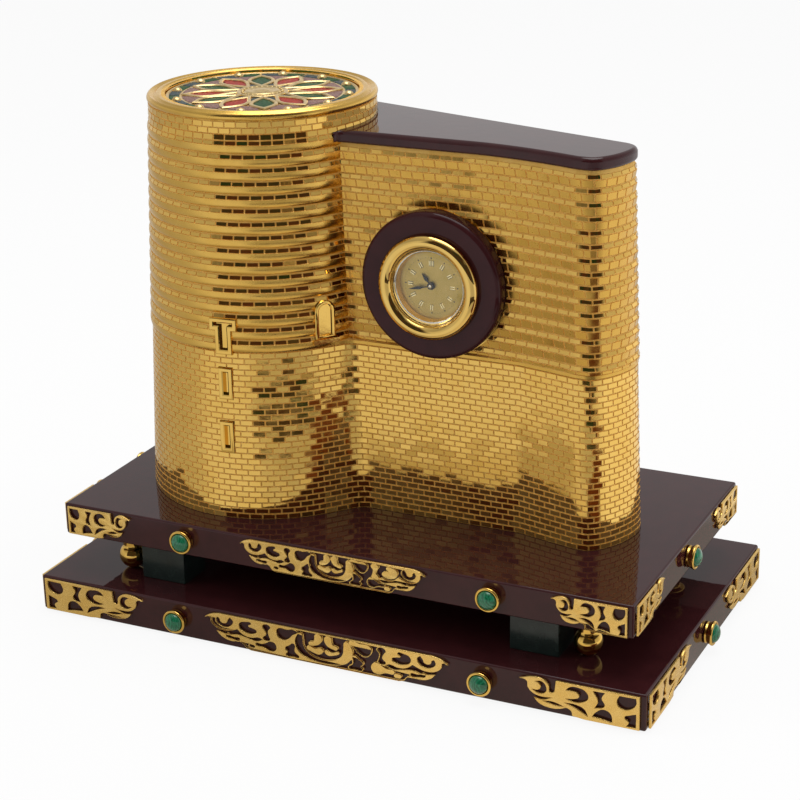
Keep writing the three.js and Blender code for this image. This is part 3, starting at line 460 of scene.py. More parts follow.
# The wall's plan at its foot and at its top: the front, the nose and the end.
ribbed_front, plain_front = (23.2, 18.4), (23.2, 22.8)
nose_x, nose_y = (102, 101), (30.2, 27.9)
end_x, end_y = (123.6, 118.8), (-1, -4.5)
back_slant, back_inset, back_corner = -15.2, 4.3, 6
# Where the front leaves the tower, in degrees, and where, in how many steps and how curved it
# swings out to the nose.
ribbed_swing, plain_swing = (-26, 48, 14, 1.7), (-40, 72, 2, 1.0)


def mix(a, b, share):
    return a + (b - a) * share


def tower_radius(z):
    return mix(foot_radius, top_radius, (z - tower_foot) / (tower_top - tower_foot))


class Path:
    """A plan line at one height. A share from 0 to 1 gives a point on it and its way out."""

    def __init__(self, points, loop):
        self.points = [Vector(point) for point in points]
        if loop:
            self.points.append(self.points[0])
        self.loop = loop
        runs = [(b - a).length for a, b in zip(self.points, self.points[1:])]
        self.length = sum(runs)
        self.shares = [0.0]
        for run in runs:
            self.shares.append(self.shares[-1] + run / self.length)
        self.outs = []
        last = len(self.points) - 1
        for i in range(last + 1):
            before = self.points[i - 1] if i else self.points[-2 if loop else 0]
            after = self.points[i + 1] if i < last else self.points[1 if loop else last]
            run = (after - before).normalized()
            self.outs.append(Vector((run.y, -run.x)))

    def at(self, share, proud):
        share = share % 1.0 if self.loop else min(max(share, 0.0), 1.0)
        high = min(bisect.bisect_right(self.shares, share), len(self.shares) - 1)
        low = high - 1
        part = (share - self.shares[low]) / max(self.shares[high] - self.shares[low], 1e-12)
        point = self.points[low].lerp(self.points[high], part)
        return point + self.outs[low].lerp(self.outs[high], part).normalized() * proud


def bezier(*controls, steps):
    points = []
    for i in range(steps + 1):
        level = [Vector(control) for control in controls]
        while len(level) > 1:
            level = [a.lerp(b, i / steps) for a, b in zip(level, level[1:])]
        points.append(level[0])
    return points


def heading_of(degrees):
    """Two directions in plan: that heading, and the one a quarter turn on."""
    turn = math.radians(degrees)
    ahead = Vector((math.cos(turn), math.sin(turn)))
    return ahead, Vector((-ahead.y, ahead.x))


def tower_path(z):
    radius, sides = tower_radius(z), 180
    turns = [2 * math.pi * i / sides for i in range(sides)]
    return Path([(tower_x + radius * math.cos(a), tower_y + radius * math.sin(a)) for a in turns], True)


def wall_path(z, ribbed=True):
    """From the tower's side along the front, round the nose and the end, and back to the tower."""
    rise = (z - tower_foot) / (cap_foot + cap_height - tower_foot)
    front = -mix(*ribbed_front, rise) if ribbed else -mix(*plain_front, (z - tower_foot) / plain_height)
    nose = Vector((mix(*nose_x, rise), -mix(*nose_y, rise)))
    end = Vector((mix(*end_x, rise), mix(*end_y, rise)))
    axis = Vector((tower_x, tower_y))
    leave, start, steps, power = ribbed_swing if ribbed else plain_swing
    outward, along = heading_of(leave)
    root = axis + outward * tower_radius(z)
    run = (front - root.y) / along.y
    bend = root + along * run
    points = [root, *bezier(root.lerp(bend, 0.75), bend, bend + Vector((run * 0.25, 0)), steps=4)]
    points += [Vector((mix(start, nose.x, i / steps), mix(front, nose.y, (i / steps) ** power)))
               for i in range(steps)]
    points.append(nose)
    points += bezier(nose + Vector((5.5, -0.2)), nose + Vector((11, -0.2)),
                     (end.x, end.y - (end.y - nose.y) * 0.48), end, steps=12)
    back_run, back_out = heading_of(back_slant)
    foot = axis + back_out * (tower_radius(z) - back_inset)
    corner = foot + back_run * ((end.x - back_corner - foot.x) / back_run.x)
    points += bezier(end, (end.x, corner.y - 2), corner, steps=5)[1:]
    points.append(foot)
    return Path(points, False)


# The finishes of the casting's faces. The wall's mouldings have a darker gold that is painted shade.
BRICK, JOINT, MOULDING, SHADED_WALL_MOULDING = 0, 1, 2, 3


class Shell:
    """Gathers the corners and faces of a wall that is laid course by course from its foot."""

    def __init__(self):
        self.points, self.faces, self.finishes, self.rows = [], [], [], []

    def corner(self, xy, z):
        self.points.append((xy.x, xy.y, z))
        return len(self.points) - 1

    def face(self, corners, finish):
        self.faces.append(tuple(corners))
        self.finishes.append(finish)

    def add_row(self, shares, corners, finish=JOINT):
        """A row of corners at one level, with faces down to the row below it."""
        if self.rows:
            self.stitch(*self.rows[-1], shares, corners, finish)
        self.rows.append((shares, corners))

    def stitch(self, low_shares, low, high_shares, high, finish):
        past_end = 1.02
        i = j = 0
        while i < len(low) or j < len(high):
            next_low = low_shares[i + 1] if i + 1 < len(low) else low_shares[0] + past_end
            next_high = high_shares[j + 1] if j + 1 < len(high) else high_shares[0] + past_end
            a, b = low[i % len(low)], high[j % len(high)]
            if j >= len(high) or (i < len(low) and next_low <= next_high):
                i += 1
                self.face((a, low[i % len(low)], b), finish)
            else:
                j += 1
                self.face((a, high[j % len(high)], b), finish)

    def smooth_row(self, path, proud, z, finish=JOINT, stations=160):
        shares = [i / stations for i in range(stations if path.loop else stations + 1)]
        self.add_row(shares, [self.corner(path.at(share, proud), z) for share in shares], finish)

    def brick(self, left, right, bends, levels, count, finish):
        """One raised face with sloped sides. Its face leans a little, as no two bricks lie alike."""
        edge = slope / brick_length
        outer_columns, face_columns = [left, *bends, right], [left + edge, *bends, right - edge]
        push = chance.uniform(-push_most, push_most)
        lean, tip = chance.uniform(-tilt_across, tilt_across), chance.uniform(-tilt_up, tilt_up)
        wobble = [chance.uniform(-wobble_most, wobble_most) for _ in range(4)]
        rows = []
        for (z, path, proud), side in zip(levels, (0, -1, 1, 0)):
            row = []
            columns = face_columns if side else outer_columns
            for place, column in enumerate(columns):
                across = 2 * place / (len(columns) - 1) - 1
                tilt = (push + lean * across + tip * side) if side else 0
                drop = wobble[(side > 0) * 2 + (across > 0)] if side else 0
                row.append(self.corner(path.at(column / count, proud + tilt), z + drop))
            rows.append(row)
        for a, b, strip_finish in zip(rows, rows[1:], (JOINT, finish, JOINT)):
            for i in range(len(a) - 1):
                self.face((a[i], a[i + 1], b[i + 1], b[i]), strip_finish)
        self.face([row[0] for row in rows], JOINT)
        self.face([row[-1] for row in reversed(rows)], JOINT)
        return rows[0], rows[3], [column / count for column in outer_columns]

    def lay(self, z_low, z_high, proud_low, proud_high, low_path, high_path, count, shifted,
            finish=BRICK):
        """One course: a row of bricks, and the joints between them."""
        half, edge = joint_half / brick_length, slope / brick_length
        if low_path.loop:
            starts = [(i + (0.5 if shifted else 0), i + (1.5 if shifted else 1)) for i in range(count)]
        else:
            stops = [0, *[i + 0.5 for i in range(count)], count] if shifted else list(range(count + 1))
            starts = list(zip(stops, stops[1:]))
        levels = [(z_low + joint_half, low_path, proud_low - joint_depth),
                  (z_low + joint_half + slope, low_path, proud_low),
                  (z_high - joint_half - slope, high_path, proud_high),
                  (z_high - joint_half, high_path, proud_high - joint_depth)]
        laid = []
        for first, last in starts:
            left, right = first + half, last - half
            bends = [share * count for share in low_path.shares[1:-1]] if not low_path.loop else []
            bends = [bend for bend in bends if left + 3 * edge < bend < right - 3 * edge]
            if len(bends) > 1:
                bends = [bends[len(bends) // 2]]
            laid.append(self.brick(left, right, bends, levels, count, finish))
        joints = list(zip(laid, laid[1:])) + ([(laid[-1], laid[0])] if low_path.loop else [])
        for (low, high, _), (next_low, next_high, _) in joints:
            self.face((low[-1], next_low[0], next_high[0], high[-1]), JOINT)
        low_row = [corner for low, _, _ in laid for corner in low]
        high_row = [corner for _, high, _ in laid for corner in high]
        row_shares = [share for _, _, shares in laid for share in shares]
        if not low_path.loop:
            self.face((low_row[-1], low_row[0], high_row[0], high_row[-1]), JOINT)
        self.add_row(row_shares, low_row)
        self.rows.append((row_shares, high_row))

    def piece(self, name, *finishes):
        self.face(reversed(self.rows[0][1]), JOINT)
        self.face(self.rows[-1][1], JOINT)
        mesh = mesh_from(name, self.points, self.faces)
        for finish in finishes:
            mesh.materials.append(finish)
        for polygon in mesh.polygons:
            polygon.material_index = self.finishes[polygon.index]
        return new_piece(name, mesh)


def mesh_from(name, points, faces):
    mesh = bpy.data.meshes.new(name)
    mesh.from_pydata([Vector(point) * MM for point in points], [], faces)
    mesh.validate()
    mesh.shade_smooth()
    return mesh


def courses(low, high, count):
    return [(mix(low, high, i / count), mix(low, high, (i + 1) / count)) for i in range(count)]


def rib_courses(ribs, proud, step):
    """The two courses of each rib: the lower leans out to the crest, the upper leans back to a step."""
    rows = []
    for i in range(ribs):
        z = plain_top + i * rib_pitch
        crest = z + rib_pitch * rib_lower_share
        rows += [(z, crest, rib_foot, proud), (crest, z + rib_pitch, proud, step)]
    return rows


def satin(name, dark, light):
    return finish_of(name, 10, (dark, light), 4, (0.19, 0.29), 1.0, waves=(1.2, 0.012))


joint_gold = finish_of("joint_gold", 4, ((0.82, 0.49, 0.11), (0.92, 0.60, 0.18)), 2, (0.52, 0.68), 0.72,
                       waves=(0.5, 0.02))
# The wall's mouldings take a darker copy of the rib gold: painted shade, as the casting is gilt alike.
casting_finishes = (gold, joint_gold, satin("rib_gold", (0.83, 0.50, 0.105), (0.88, 0.55, 0.13)),
                    satin("wall_rib_gold", (0.72, 0.42, 0.08), (0.77, 0.46, 0.10)))

plain_rows = [(low, high, 0, 0) for low, high in courses(tower_foot, plain_top, plain_courses)]
# How the smooth course of a tower rib swells: shares of its height and of how far it comes out.
swell = [(0.06, 0.0), (0.2, 0.5), (0.45, 0.85), (0.72, 1.0), (1.0, 0.97)]
collar_proud, collar_leans = 0.5, (0.2, 0.47, 0.5)
tower = Shell()
tower_bricks = round(2 * math.pi * tower_radius(150) / brick_length)
tower.smooth_row(tower_path(tower_foot), -joint_depth, tower_foot)
rows = plain_rows + rib_courses(tower_ribs, 0.95, 0.45)
rows += [(low, high, collar_proud, lean) for (low, high), lean in
         zip(courses(rib_top, rim_foot, collar_courses), collar_leans)]
for i, (low, high, proud_low, proud_high) in enumerate(rows):
    if proud_low < proud_high:
        for place, (rise, share) in enumerate(swell):
            z = mix(low, high, rise)
            tower.smooth_row(tower_path(z), mix(proud_low, proud_high, share), z,
                             MOULDING if place else JOINT)
    else:
        tower.lay(low, high, proud_low, proud_high, tower_path(low), tower_path(high), tower_bricks,
                  i // 2 % 2 if plain_top <= low < rib_top else i % 2)
rim_profile = [(tower_radius(rim_foot) + 0.1, rim_foot), *arc((53.2, rim_foot + 2.0), 2.0, -50, 70, 8)]
rim_profile += [(radius, tower_top - drop) for radius, drop in (
    (52.9, 0.5), (52.0, 1.0), (51.2, 0.75), (50.4, 0.15), (49.6, 0), (48.8, 0.1), (48.2, 0.5))]
for place, (radius, z) in enumerate(rim_profile):
    tower.smooth_row(tower_path(z), radius - tower_radius(z), z, MOULDING if place else JOINT)
casting = tower.piece("brick_casting", *casting_finishes)

spur = Shell()
wall_rows = rib_courses(wall_ribs, 0.8, 0.4)
wall_rows[0] = (ledge_top, wall_rows[0][1], 0.6, wall_rows[0][3])
ledge_profile = [(-0.05, plain_top + 0.15, JOINT), (0.1, plain_top + 0.4, SHADED_WALL_MOULDING),
                 (0.1, ledge_top - 0.1, SHADED_WALL_MOULDING)]
spur.smooth_row(wall_path(tower_foot, False), -joint_depth, tower_foot)
plain_bricks = round(wall_path(100, False).length / brick_length)
ribbed_bricks = round(wall_path(190).length / brick_length)
for i, (low, high, proud_low, proud_high) in enumerate(plain_rows + wall_rows):
    ribbed = low >= ledge_top
    if low == ledge_top:
        for proud, z, finish in ledge_profile:
            spur.smooth_row(wall_path(plain_top, False), proud, z, finish)
    spur.lay(low, high, proud_low, proud_high, wall_path(low, ribbed), wall_path(high, ribbed),
             ribbed_bricks if ribbed else plain_bricks, i % 2,
             SHADED_WALL_MOULDING if proud_low < proud_high else BRICK)
spur.smooth_row(wall_path(cap_foot), -0.4, cap_foot)
wall_solid = spur.piece("wall_solid", *casting_finishes)


def stacked(solids):
    """Points and faces of closed solids, each through rings that have as many points each."""
    points, faces = [], []
    for rings in solids:
        base, count = len(points), len(rings[0])
        top = base + (len(rings) - 1) * count
        points += [point for ring in rings for point in ring]
        faces += [tuple(reversed(range(base, base + count))), tuple(range(top, top + count))]
        for level in range(base, top, count):
            for i in range(count):
                a, b = level + i, level + (i + 1) % count
                faces.append((a, b, b + count, a + count))
    return points, faces


def loft(name, rings):
    return new_piece(name, mesh_from(name, *stacked([rings])))


def many_prisms(name, solids, place):
    """One piece of closed solids, each given as flat outlines at their heights, set by a matrix."""
    mesh = mesh_from(name, *stacked(
        [[[(x, y, height) for x, y in outline] for outline, height in levels] for levels in solids]))
    mesh.transform(place)
    mesh.set_sharp_from_angle(angle=math.radians(35))
    return new_piece(name, mesh)


def on_tower(angle, z):
    """The matrix that stands a flat outline on the tower's side, facing out."""
    turn = math.radians(angle)
    out = Vector((math.cos(turn), math.sin(turn), 0))
    side = Vector((-math.sin(turn), math.cos(turn), 0))
    place = Matrix((side, Vector((0, 0, 1)), out)).transposed().to_4x4()
    place.translation = Vector((tower_x, tower_y, 0)) * MM + out * tower_radius(z) * MM
    place.translation.z = z * MM
    return place


def slot_outline(margin):
    x, y = 3.6 - margin, 8.0 - margin
    return [(-x, -y), (x, -y), (x, y), (-x, y)]


def tee_outline(margin):
    stem, bar, top = 4.2 - margin, 6.9 - margin, 9.0 - margin
    bar_foot = top - 6.2 + 2 * margin
    return [(-stem, -top), (stem, -top), (stem, bar_foot), (bar, bar_foot), (bar, top), (-bar, top),
            (-bar, bar_foot), (-stem, bar_foot)]


def arch_outline(margin):
    half, spring, foot = 5.3 - margin, 9.4 - 5.3, -9.4 + margin
    points = [(-half, foot), (half, foot)]
    return points + [(half * math.cos(math.pi * i / 14), spring + half * math.sin(math.pi * i / 14))
                     for i in range(15)]


# Each window's outline, its heading and height on the tower, how proud and wide its frame is, and
# how far out its pane lies.
arch_spot = (-36.0, 153.1)
windows = [(slot_outline, -83.5, 96.8, 0.8, 2.3, -1.6), (slot_outline, -83.5, 123.4, 0.8, 2.3, -1.6),
           (tee_outline, -83.5, 147.0, 1.9, 2.3, -0.2), (arch_outline, *arch_spot, 2.0, 1.9, 0.9)]
added, removed = [wall_solid], []
for i, (outline, angle, z, proud, width, pane) in enumerate(windows):
    place = on_tower(angle, z)
    added.append(many_prisms(f"frame_{i}", [[(outline(0), -2.2), (outline(0), proud - 0.5),
                                             (outline(0.2), proud - 0.15), (outline(0.6), proud)]], place))
    removed.append(many_prisms(f"recess_{i}", [[(outline(width), pane), (outline(width), proud - 0.4),
                                                (outline(width - 0.5), proud + 0.01),
                                                (outline(width - 0.5), 5)]], place))
sill_outline = [(-6.8, -11.4), (6.8, -11.4), (6.8, -9.4), (-6.8, -9.4)]
added.append(many_prisms("sill", [[(sill_outline, -2), (sill_outline, 2.6)]], on_tower(*arch_spot)))

clock_x, clock_y, clock_z = 29.8, -28.5, 173.6
clock_place = Matrix(((1, 0, 0, clock_x * MM), (0, 0, -1, clock_y * MM), (0, 1, 0, clock_z * MM),
                      (0, 0, 0, 1)))
seat_depth, bore = -7.9, 24.0


def turned_form(name, profile, place, facets=96):
    """A turned solid that is only joined to another or cut out of it."""
    piece = turned(name, profile, place, facets)
    piece.modifiers.clear()
    return piece


def disc(name, radius, low, high, place, facets=96):
    return turned_form(name, [(0, low), (radius, low), (radius, high), (0, high)], place, facets)


added.append(disc("seat_boss", 34.9, seat_depth - 4.1, seat_depth, clock_place))
removed += [disc("seat_cut", 35.5, seat_depth, 30, clock_place),
            disc("bore_cut", bore, -30, 10, clock_place)]
recess, throat, recess_depth = 46.5, 41.5, 3.0
shoulder = tower_top - recess_depth - shell
shoulder_radius = tower_radius(shoulder) - shell
removed.append(turned_form("tower_hollow", [
    (0, tower_foot - 3), (foot_radius - shell, tower_foot - 3),
    (shoulder_radius, shoulder - (shoulder_radius - throat) / 2), (throat, shoulder),
    (throat, tower_top - recess_depth), (recess, tower_top - recess_depth), (recess, tower_top + 3),
    (0, tower_top + 3)], at(tower_x, tower_y, 0)))


def hollow_ring(z, level):
    path = wall_path(z)
    ring = [(*path.at(0.18 + 0.82 * i / 60, -shell), level) for i in range(61)]
    return [(tower_x, ring[0][1], level), *ring]


removed.append(loft("wall_hollow", [hollow_ring(tower_foot, tower_foot - 3),
                                    hollow_ring(cap_foot - shell, cap_foot - shell)]))


def carve(piece, added, removed, crease):
    """Joins solids to a piece and cuts others out of it, then lets the tools go."""
    for tool, operation in [*((t, "UNION") for t in added), *((t, "DIFFERENCE") for t in removed)]:
        step = piece.modifiers.new(tool.name, "BOOLEAN")
        step.solver = "MANIFOLD"
        step.operation = operation
        step.object = tool
    view = bpy.context.evaluated_depsgraph_get()
    mesh = bpy.data.meshes.new_from_object(piece.evaluated_get(view))
    piece.modifiers.clear()
    piece.data = mesh
    for tool in [*added, *removed]:
        bpy.data.objects.remove(tool)
    mesh.shade_smooth()
    mesh.set_sharp_from_angle(angle=math.radians(crease))
    return piece


carve(casting, added, removed, 24)
settle(casting, gold, "base", "gold", "tower_casting")


# Wall cap. A lacquered board with a rounded edge that lies on the wall and follows its plan. Its
# inner end is hollowed to fit round the tower.
cap_proud, low_edge, high_edge = 1.1, 1.6, 2.2
edge_profile = [*arc((cap_proud - low_edge, cap_foot + low_edge), low_edge, -90, 0, 4),
                *arc((cap_proud - high_edge, cap_foot + cap_height - high_edge), high_edge, 0, 90, 6)]
plan = wall_path(cap_foot)
cap = loft("wall_cap_board",
           [[(*plan.at(i / 160, proud), z) for i in range(161)] for proud, z in edge_profile])
fit = disc("around_tower", tower_radius(cap_foot) + 0.4, cap_foot - 2, cap_foot + 9,
           at(tower_x, tower_y, 0), 160)
carve(cap, [], [fit], 35)
settle(even_shading(cap), lacquer, "base", "lacquer", "wall_cap")


# Medallion. A disc of cast brass in the tower's top, with cells of coloured enamel between its
# walls. A pierced gilt flower of twelve petals and a ring of studs lie on it.
petals = 12
petal_step = 2 * math.pi / petals
medallion_place = at(tower_x, tower_y, 249.6)
field_top, cell_foot, cell_top, flower_foot = 0.75, 0.4, 1.0, 0.9

pale_gold = finish_of("satin_gold", 3, ((0.76, 0.53, 0.21), (0.88, 0.66, 0.32)), 1.5, (0.24, 0.40), 1.0,
                      waves=(0.6, 0.02))


def polar(radius, angle):
    return (radius * math.cos(angle), radius * math.sin(angle))


def petal_line(inner, outer, half_width, steps=14):
    """A pointed leaf about the X axis, from its inner tip out along one side and back."""
    side = []
    for i in range(steps + 1):
        share = i / steps
        side.append((mix(inner, outer, share), half_width * math.sin(math.pi * share ** 1.25)))
    return [(x, -y) for x, y in side] + [(x, y) for x, y in reversed(side[1:-1])]


def rotated(outline, angle):
    return [(x * math.cos(angle) - y * math.sin(angle), x * math.sin(angle) + y * math.cos(angle))
            for x, y in outline]


def shrunk(outline, by):
    """The outline drawn in towards its middle by a distance."""
    middle = Vector((sum(x for x, _ in outline), sum(y for _, y in outline))) / len(outline)
    pulled = []
    for point in outline:
        spoke = Vector(point) - middle
        pulled.append(tuple(middle + spoke * max(0.05, 1 - by / max(spoke.length, 1e-6))))
    return pulled


def sector(inner, outer, middle, half_angle, steps=5):
    turns = [mix(-half_angle, half_angle, i / steps) for i in range(steps + 1)]
    return ([polar(outer, middle + a) for a in turns]
            + [polar(inner, middle + a) for a in reversed(turns)])


def moulding(lines, profile):
    """Solids that follow closed flat lines with a cross-section of [across, height] pairs."""
    points, faces = [], []
    ring = len(profile)
    for line in lines:
        base, count = len(points), len(line)
        for i, point in enumerate(line):
            before = (Vector(point) - Vector(line[i - 1])).normalized()
            after = (Vector(line[(i + 1) % count]) - Vector(point)).normalized()
            along = (before + after).normalized() if (before + after).length > 1e-6 else after
            out = Vector((along.y, -along.x))
            stretch = min(1 / max(out.dot(Vector((after.y, -after.x))), 0.2), 2.4)
            for across, height in profile:
                place = Vector(point) + out * across * stretch
                points.append((place.x, place.y, height))
        for i in range(count):
            here, there = base + i * ring, base + (i + 1) % count * ring
            for k in range(ring):
                beside = (k + 1) % ring
                faces.append((here + k, there + k, there + beside, here + beside))
    return points, faces


def beads(name, places, radius, place, sides=16, rows=10):
    """Round studs in one piece."""
    turns = [2 * math.pi * i / sides for i in range(sides)]
    points, faces = [], []
    for x, y, z in places:
        foot, crown = len(points), len(points) + 1
        points += [(x, y, z - radius), (x, y, z + radius)]
        for row in range(1, rows):
            tilt = math.pi * row / rows
            ring, height = radius * math.sin(tilt), z - radius * math.cos(tilt)
            points += [(x + ring * math.cos(a), y + ring * math.sin(a), height) for a in turns]
        first, last = crown + 1, len(points) - sides
        for i in range(sides):
            beside = (i + 1) % sides
            faces += [(foot, first + beside, first + i), (crown, last + i, last + beside)]
            faces += [(low + i, low + beside, low + sides + beside, low + sides + i)
                      for low in range(first, last, sides)]
    mesh = mesh_from(name, points, faces)
    mesh.transform(place)
    return new_piece(name, mesh)


field_profile = [(0, 0), (46.2, 0), (46.2, 1.15), (45.9, 1.3), (45.4, 1.3), (45.1, field_top),
                 (0, field_top)]
settle(turned("medallion_field", field_profile, medallion_place, 96), pale_gold, "base", "gold",
       "medallion_plate")

enamels = {
    "slate": ((0.02, 0.032, 0.035), (0.09, 0.115, 0.12)),
    "red": ((0.18, 0.014, 0.010), (0.46, 0.05, 0.03)),
    "green": ((0.008, 0.034, 0.014), (0.035, 0.11, 0.038)),
    "rose": ((0.13, 0.065, 0.055), (0.32, 0.19, 0.165))}
cells = {name: [] for name in enamels}
for i in range(petals):
    angle = i * petal_step
    cells["red" if i % 2 else "green"].append(rotated(petal_line(13.6, 36.4, 4.7), angle))
    cells["rose"].append(sector(30.5, 38.4, angle + petal_step / 2, 0.19))
for i in range(2 * petals):
    cells["slate" if i % 2 else "green"].append(sector(39.6, 44.6, (i + 0.5) * petal_step / 2, 0.118))
cells["slate"] += [sector(12.0, 20.0, (i + 0.5) * petal_step, 0.13) for i in range(petals)]
for name, shades in enamels.items():
    finish = finish_of(name + "_enamel", 0.8, shades, 1.2, (0.42, 0.6), waves=(0.7, 0.12),
                       more=[("Specular IOR Level", 0.2)])
    solids = [[(cell, cell_foot), (cell, cell_top - 0.12), (shrunk(cell, 0.25), cell_top)]
              for cell in cells[name]]
    settle(many_prisms(name + "_cells", solids, medallion_place), finish, "base", "enamel")

bar_half, bar_top, bar_shoulder = 0.95, flower_foot + 0.8, flower_foot + 0.35
bar = [(-bar_half, flower_foot), (bar_half, flower_foot), (bar_half, bar_shoulder), (0.5, bar_top),
       (-0.5, bar_top), (-bar_half, bar_shoulder)]
petal_lines = [rotated(petal_line(12.5, 37.3, 5.9), i * petal_step) for i in range(petals)]
mesh = mesh_from("medallion_flower", *moulding(petal_lines, bar))
mesh.transform(medallion_place)
mesh.set_sharp_from_angle(angle=math.radians(25))
settle(new_piece("medallion_flower", mesh), pale_gold, "base", "gold", "medallion_rosette")

boss_profile = [(0, 0.6), (12.6, 0.6), (12.6, 1.4), (12.1, 1.8), (11.1, 1.8), (10.6, 1.4), (8.6, 1.4),
                (8.2, 1.9), (7.2, 2.3), (6.2, 2.0), (5.2, 1.8), (3.6, 2.3), (1.8, 2.55), (0, 2.6)]
studs = [(*polar(42.1, (i + 0.5) * petal_step), cell_top - 0.9) for i in range(petals)]
pearls = [(*polar(9.6, i * petal_step / 2), 1.4) for i in range(2 * petals)]
for piece in (turned("medallion_boss", boss_profile, medallion_place, 72),
              beads("medallion_studs", studs, 2.6, medallion_place),
              beads("medallion_pearls", pearls, 0.7, medallion_place)):
    settle(piece, pale_gold, "base", "gold")


# Scroll plates. Pierced leaves and curls, cast in brass, gilt, and pinned on the slab edges: one
# at each corner of every face but the back, and a wide one in the middle of the front.
scroll_gold = finish_of("scroll_gold", 5, ((0.90, 0.57, 0.15), (0.96, 0.65, 0.21)), 2, (0.20, 0.34), 0.85,
                        waves=(0.9, 0.02))
plate_thickness, plate_edge, plate_gap, corner_gap = 1.3, 0.32, 0.9, 2.5
plate_lift = 0.3 + plate_thickness / 2
# Outlines in shares of a plate's length and height. Points are smooth unless they are marked.
SHARP = True
corner_outlines = [
    [(0, 0, SHARP), (0, 1, SHARP), (0.69, 1, SHARP), (0.7, 0.66, SHARP), (0.735, 0.62), (0.75, 0.84),
     (0.80, 0.975), (0.88, 1), (1, 0.88, SHARP), (0.935, 0.84), (0.925, 0.66), (0.88, 0.50), (0.80, 0.44),
     (0.72, 0.47, SHARP), (0.80, 0.36), (0.873, 0.38, SHARP), (0.83, 0.23), (0.75, 0.15), (0.66, 0.17),
     (0.6, 0.25, SHARP), (0.56, 0.18), (0.55, 0.04, SHARP), (0.45, 0, SHARP)],
    [(0.03, 0.94, SHARP), (0.03, 0.76), (0.09, 0.57), (0.15, 0.57), (0.185, 0.72), (0.165, 0.93, SHARP)],
    [(0.028, 0.47, SHARP), (0.028, 0.06, SHARP), (0.105, 0.06, SHARP), (0.085, 0.19), (0.12, 0.32),
     (0.075, 0.41)],
    [(0.285, 0.93, SHARP), (0.31, 0.75), (0.285, 0.53), (0.365, 0.42, SHARP), (0.34, 0.64),
     (0.38, 0.92, SHARP)],
    [(0.605, 0.79, SHARP), (0.565, 0.91), (0.50, 0.925), (0.44, 0.85), (0.42, 0.67), (0.465, 0.52),
     (0.54, 0.475), (0.60, 0.53, SHARP), (0.535, 0.565), (0.495, 0.65), (0.505, 0.755), (0.55, 0.79)],
    [(0.385, 0.15, SHARP), (0.35, 0.31), (0.29, 0.42), (0.235, 0.33), (0.22, 0.08, SHARP), (0.31, 0.13)],
    [(0.86, 0.88, SHARP), (0.805, 0.90), (0.77, 0.76), (0.775, 0.60), (0.83, 0.53), (0.885, 0.62, SHARP),
     (0.835, 0.63), (0.815, 0.72), (0.825, 0.82)],
    [(0.79, 0.33, SHARP), (0.71, 0.35), (0.62, 0.27, SHARP), (0.70, 0.265)],
    [(0.61, 0.40, SHARP), (0.52, 0.40), (0.45, 0.31), (0.42, 0.12, SHARP), (0.475, 0.22), (0.53, 0.31)]]
# The right half of the centre plate. Its outline and its crescent close across the middle.
half_outline = [
    (0.88, 1, SHARP), (0.95, 0.93), (1, 0.80, SHARP), (0.955, 0.83), (0.945, 0.68), (0.90, 0.53),
    (0.83, 0.48), (0.765, 0.53), (0.72, 0.60, SHARP), (0.67, 0.46), (0.60, 0.42), (0.54, 0.47),
    (0.505, 0.43, SHARP), (0.56, 0.34), (0.63, 0.38), (0.72, 0.43), (0.80, 0.38), (0.90, 0.44, SHARP),
    (0.86, 0.28), (0.78, 0.18), (0.70, 0.21), (0.67, 0.16, SHARP), (0.65, 0.06), (0.61, 0, SHARP)]
half_openings = [
    [(0.89, 0.88, SHARP), (0.90, 0.76), (0.87, 0.64), (0.82, 0.60), (0.775, 0.68), (0.755, 0.82),
     (0.78, 0.93, SHARP), (0.80, 0.83), (0.81, 0.745), (0.84, 0.71), (0.865, 0.76), (0.87, 0.84)],
    [(0.60, 0.87), (0.65, 0.89), (0.70, 0.81), (0.70, 0.66), (0.65, 0.555), (0.585, 0.56),
     (0.555, 0.66), (0.59, 0.73), (0.625, 0.78)],
    [(0.44, 0.89), (0.505, 0.88), (0.485, 0.73), (0.477, 0.62), (0.505, 0.48), (0.49, 0.43),
     (0.445, 0.47), (0.455, 0.60), (0.46, 0.74)],
    [(0.215, 0.91), (0.30, 0.91), (0.378, 0.88), (0.385, 0.70), (0.34, 0.56), (0.29, 0.63),
     (0.255, 0.77)],
    [(0.40, 0.36), (0.44, 0.42), (0.475, 0.35), (0.51, 0.29), (0.57, 0.25), (0.50, 0.19), (0.44, 0.11),
     (0.40, 0.18)],
    [(0.60, 0.20), (0.625, 0.16), (0.605, 0.11), (0.575, 0.15)],
    [(0.245, 0.50), (0.285, 0.42), (0.32, 0.30), (0.30, 0.21), (0.315, 0.11), (0.25, 0.08),
     (0.205, 0.10), (0.24, 0.25)],
    [(0.70, 0.29), (0.76, 0.33), (0.82, 0.34), (0.77, 0.26)],
    [(0.02, 0.91), (0.06, 0.93), (0.065, 0.82), (0.075, 0.70), (0.115, 0.63), (0.065, 0.62),
     (0.025, 0.72)],
    [(0.012, 0.50), (0.07, 0.47), (0.13, 0.51), (0.09, 0.39), (0.02, 0.38)]]
crescent_outer = [(0.185, 0.88), (0.225, 0.74), (0.235, 0.54), (0.205, 0.30), (0.14, 0.155),
                  (0.05, 0.085)]
crescent_inner = [(0.05, 0.18), (0.125, 0.30), (0.165, 0.50), (0.172, 0.70)]


def mirrored_back(half):
    """The points mirrored to the other half, in turned order."""
    return [(-point[0], *point[1:]) for point in reversed(half)]


centre_outlines = [half_outline + mirrored_back(half_outline)]
for opening in half_openings:
    centre_outlines += [opening, mirrored_back(opening)]
centre_outlines.append(crescent_outer + mirrored_back(crescent_outer) + mirrored_back(crescent_inner)
                       + crescent_inner)


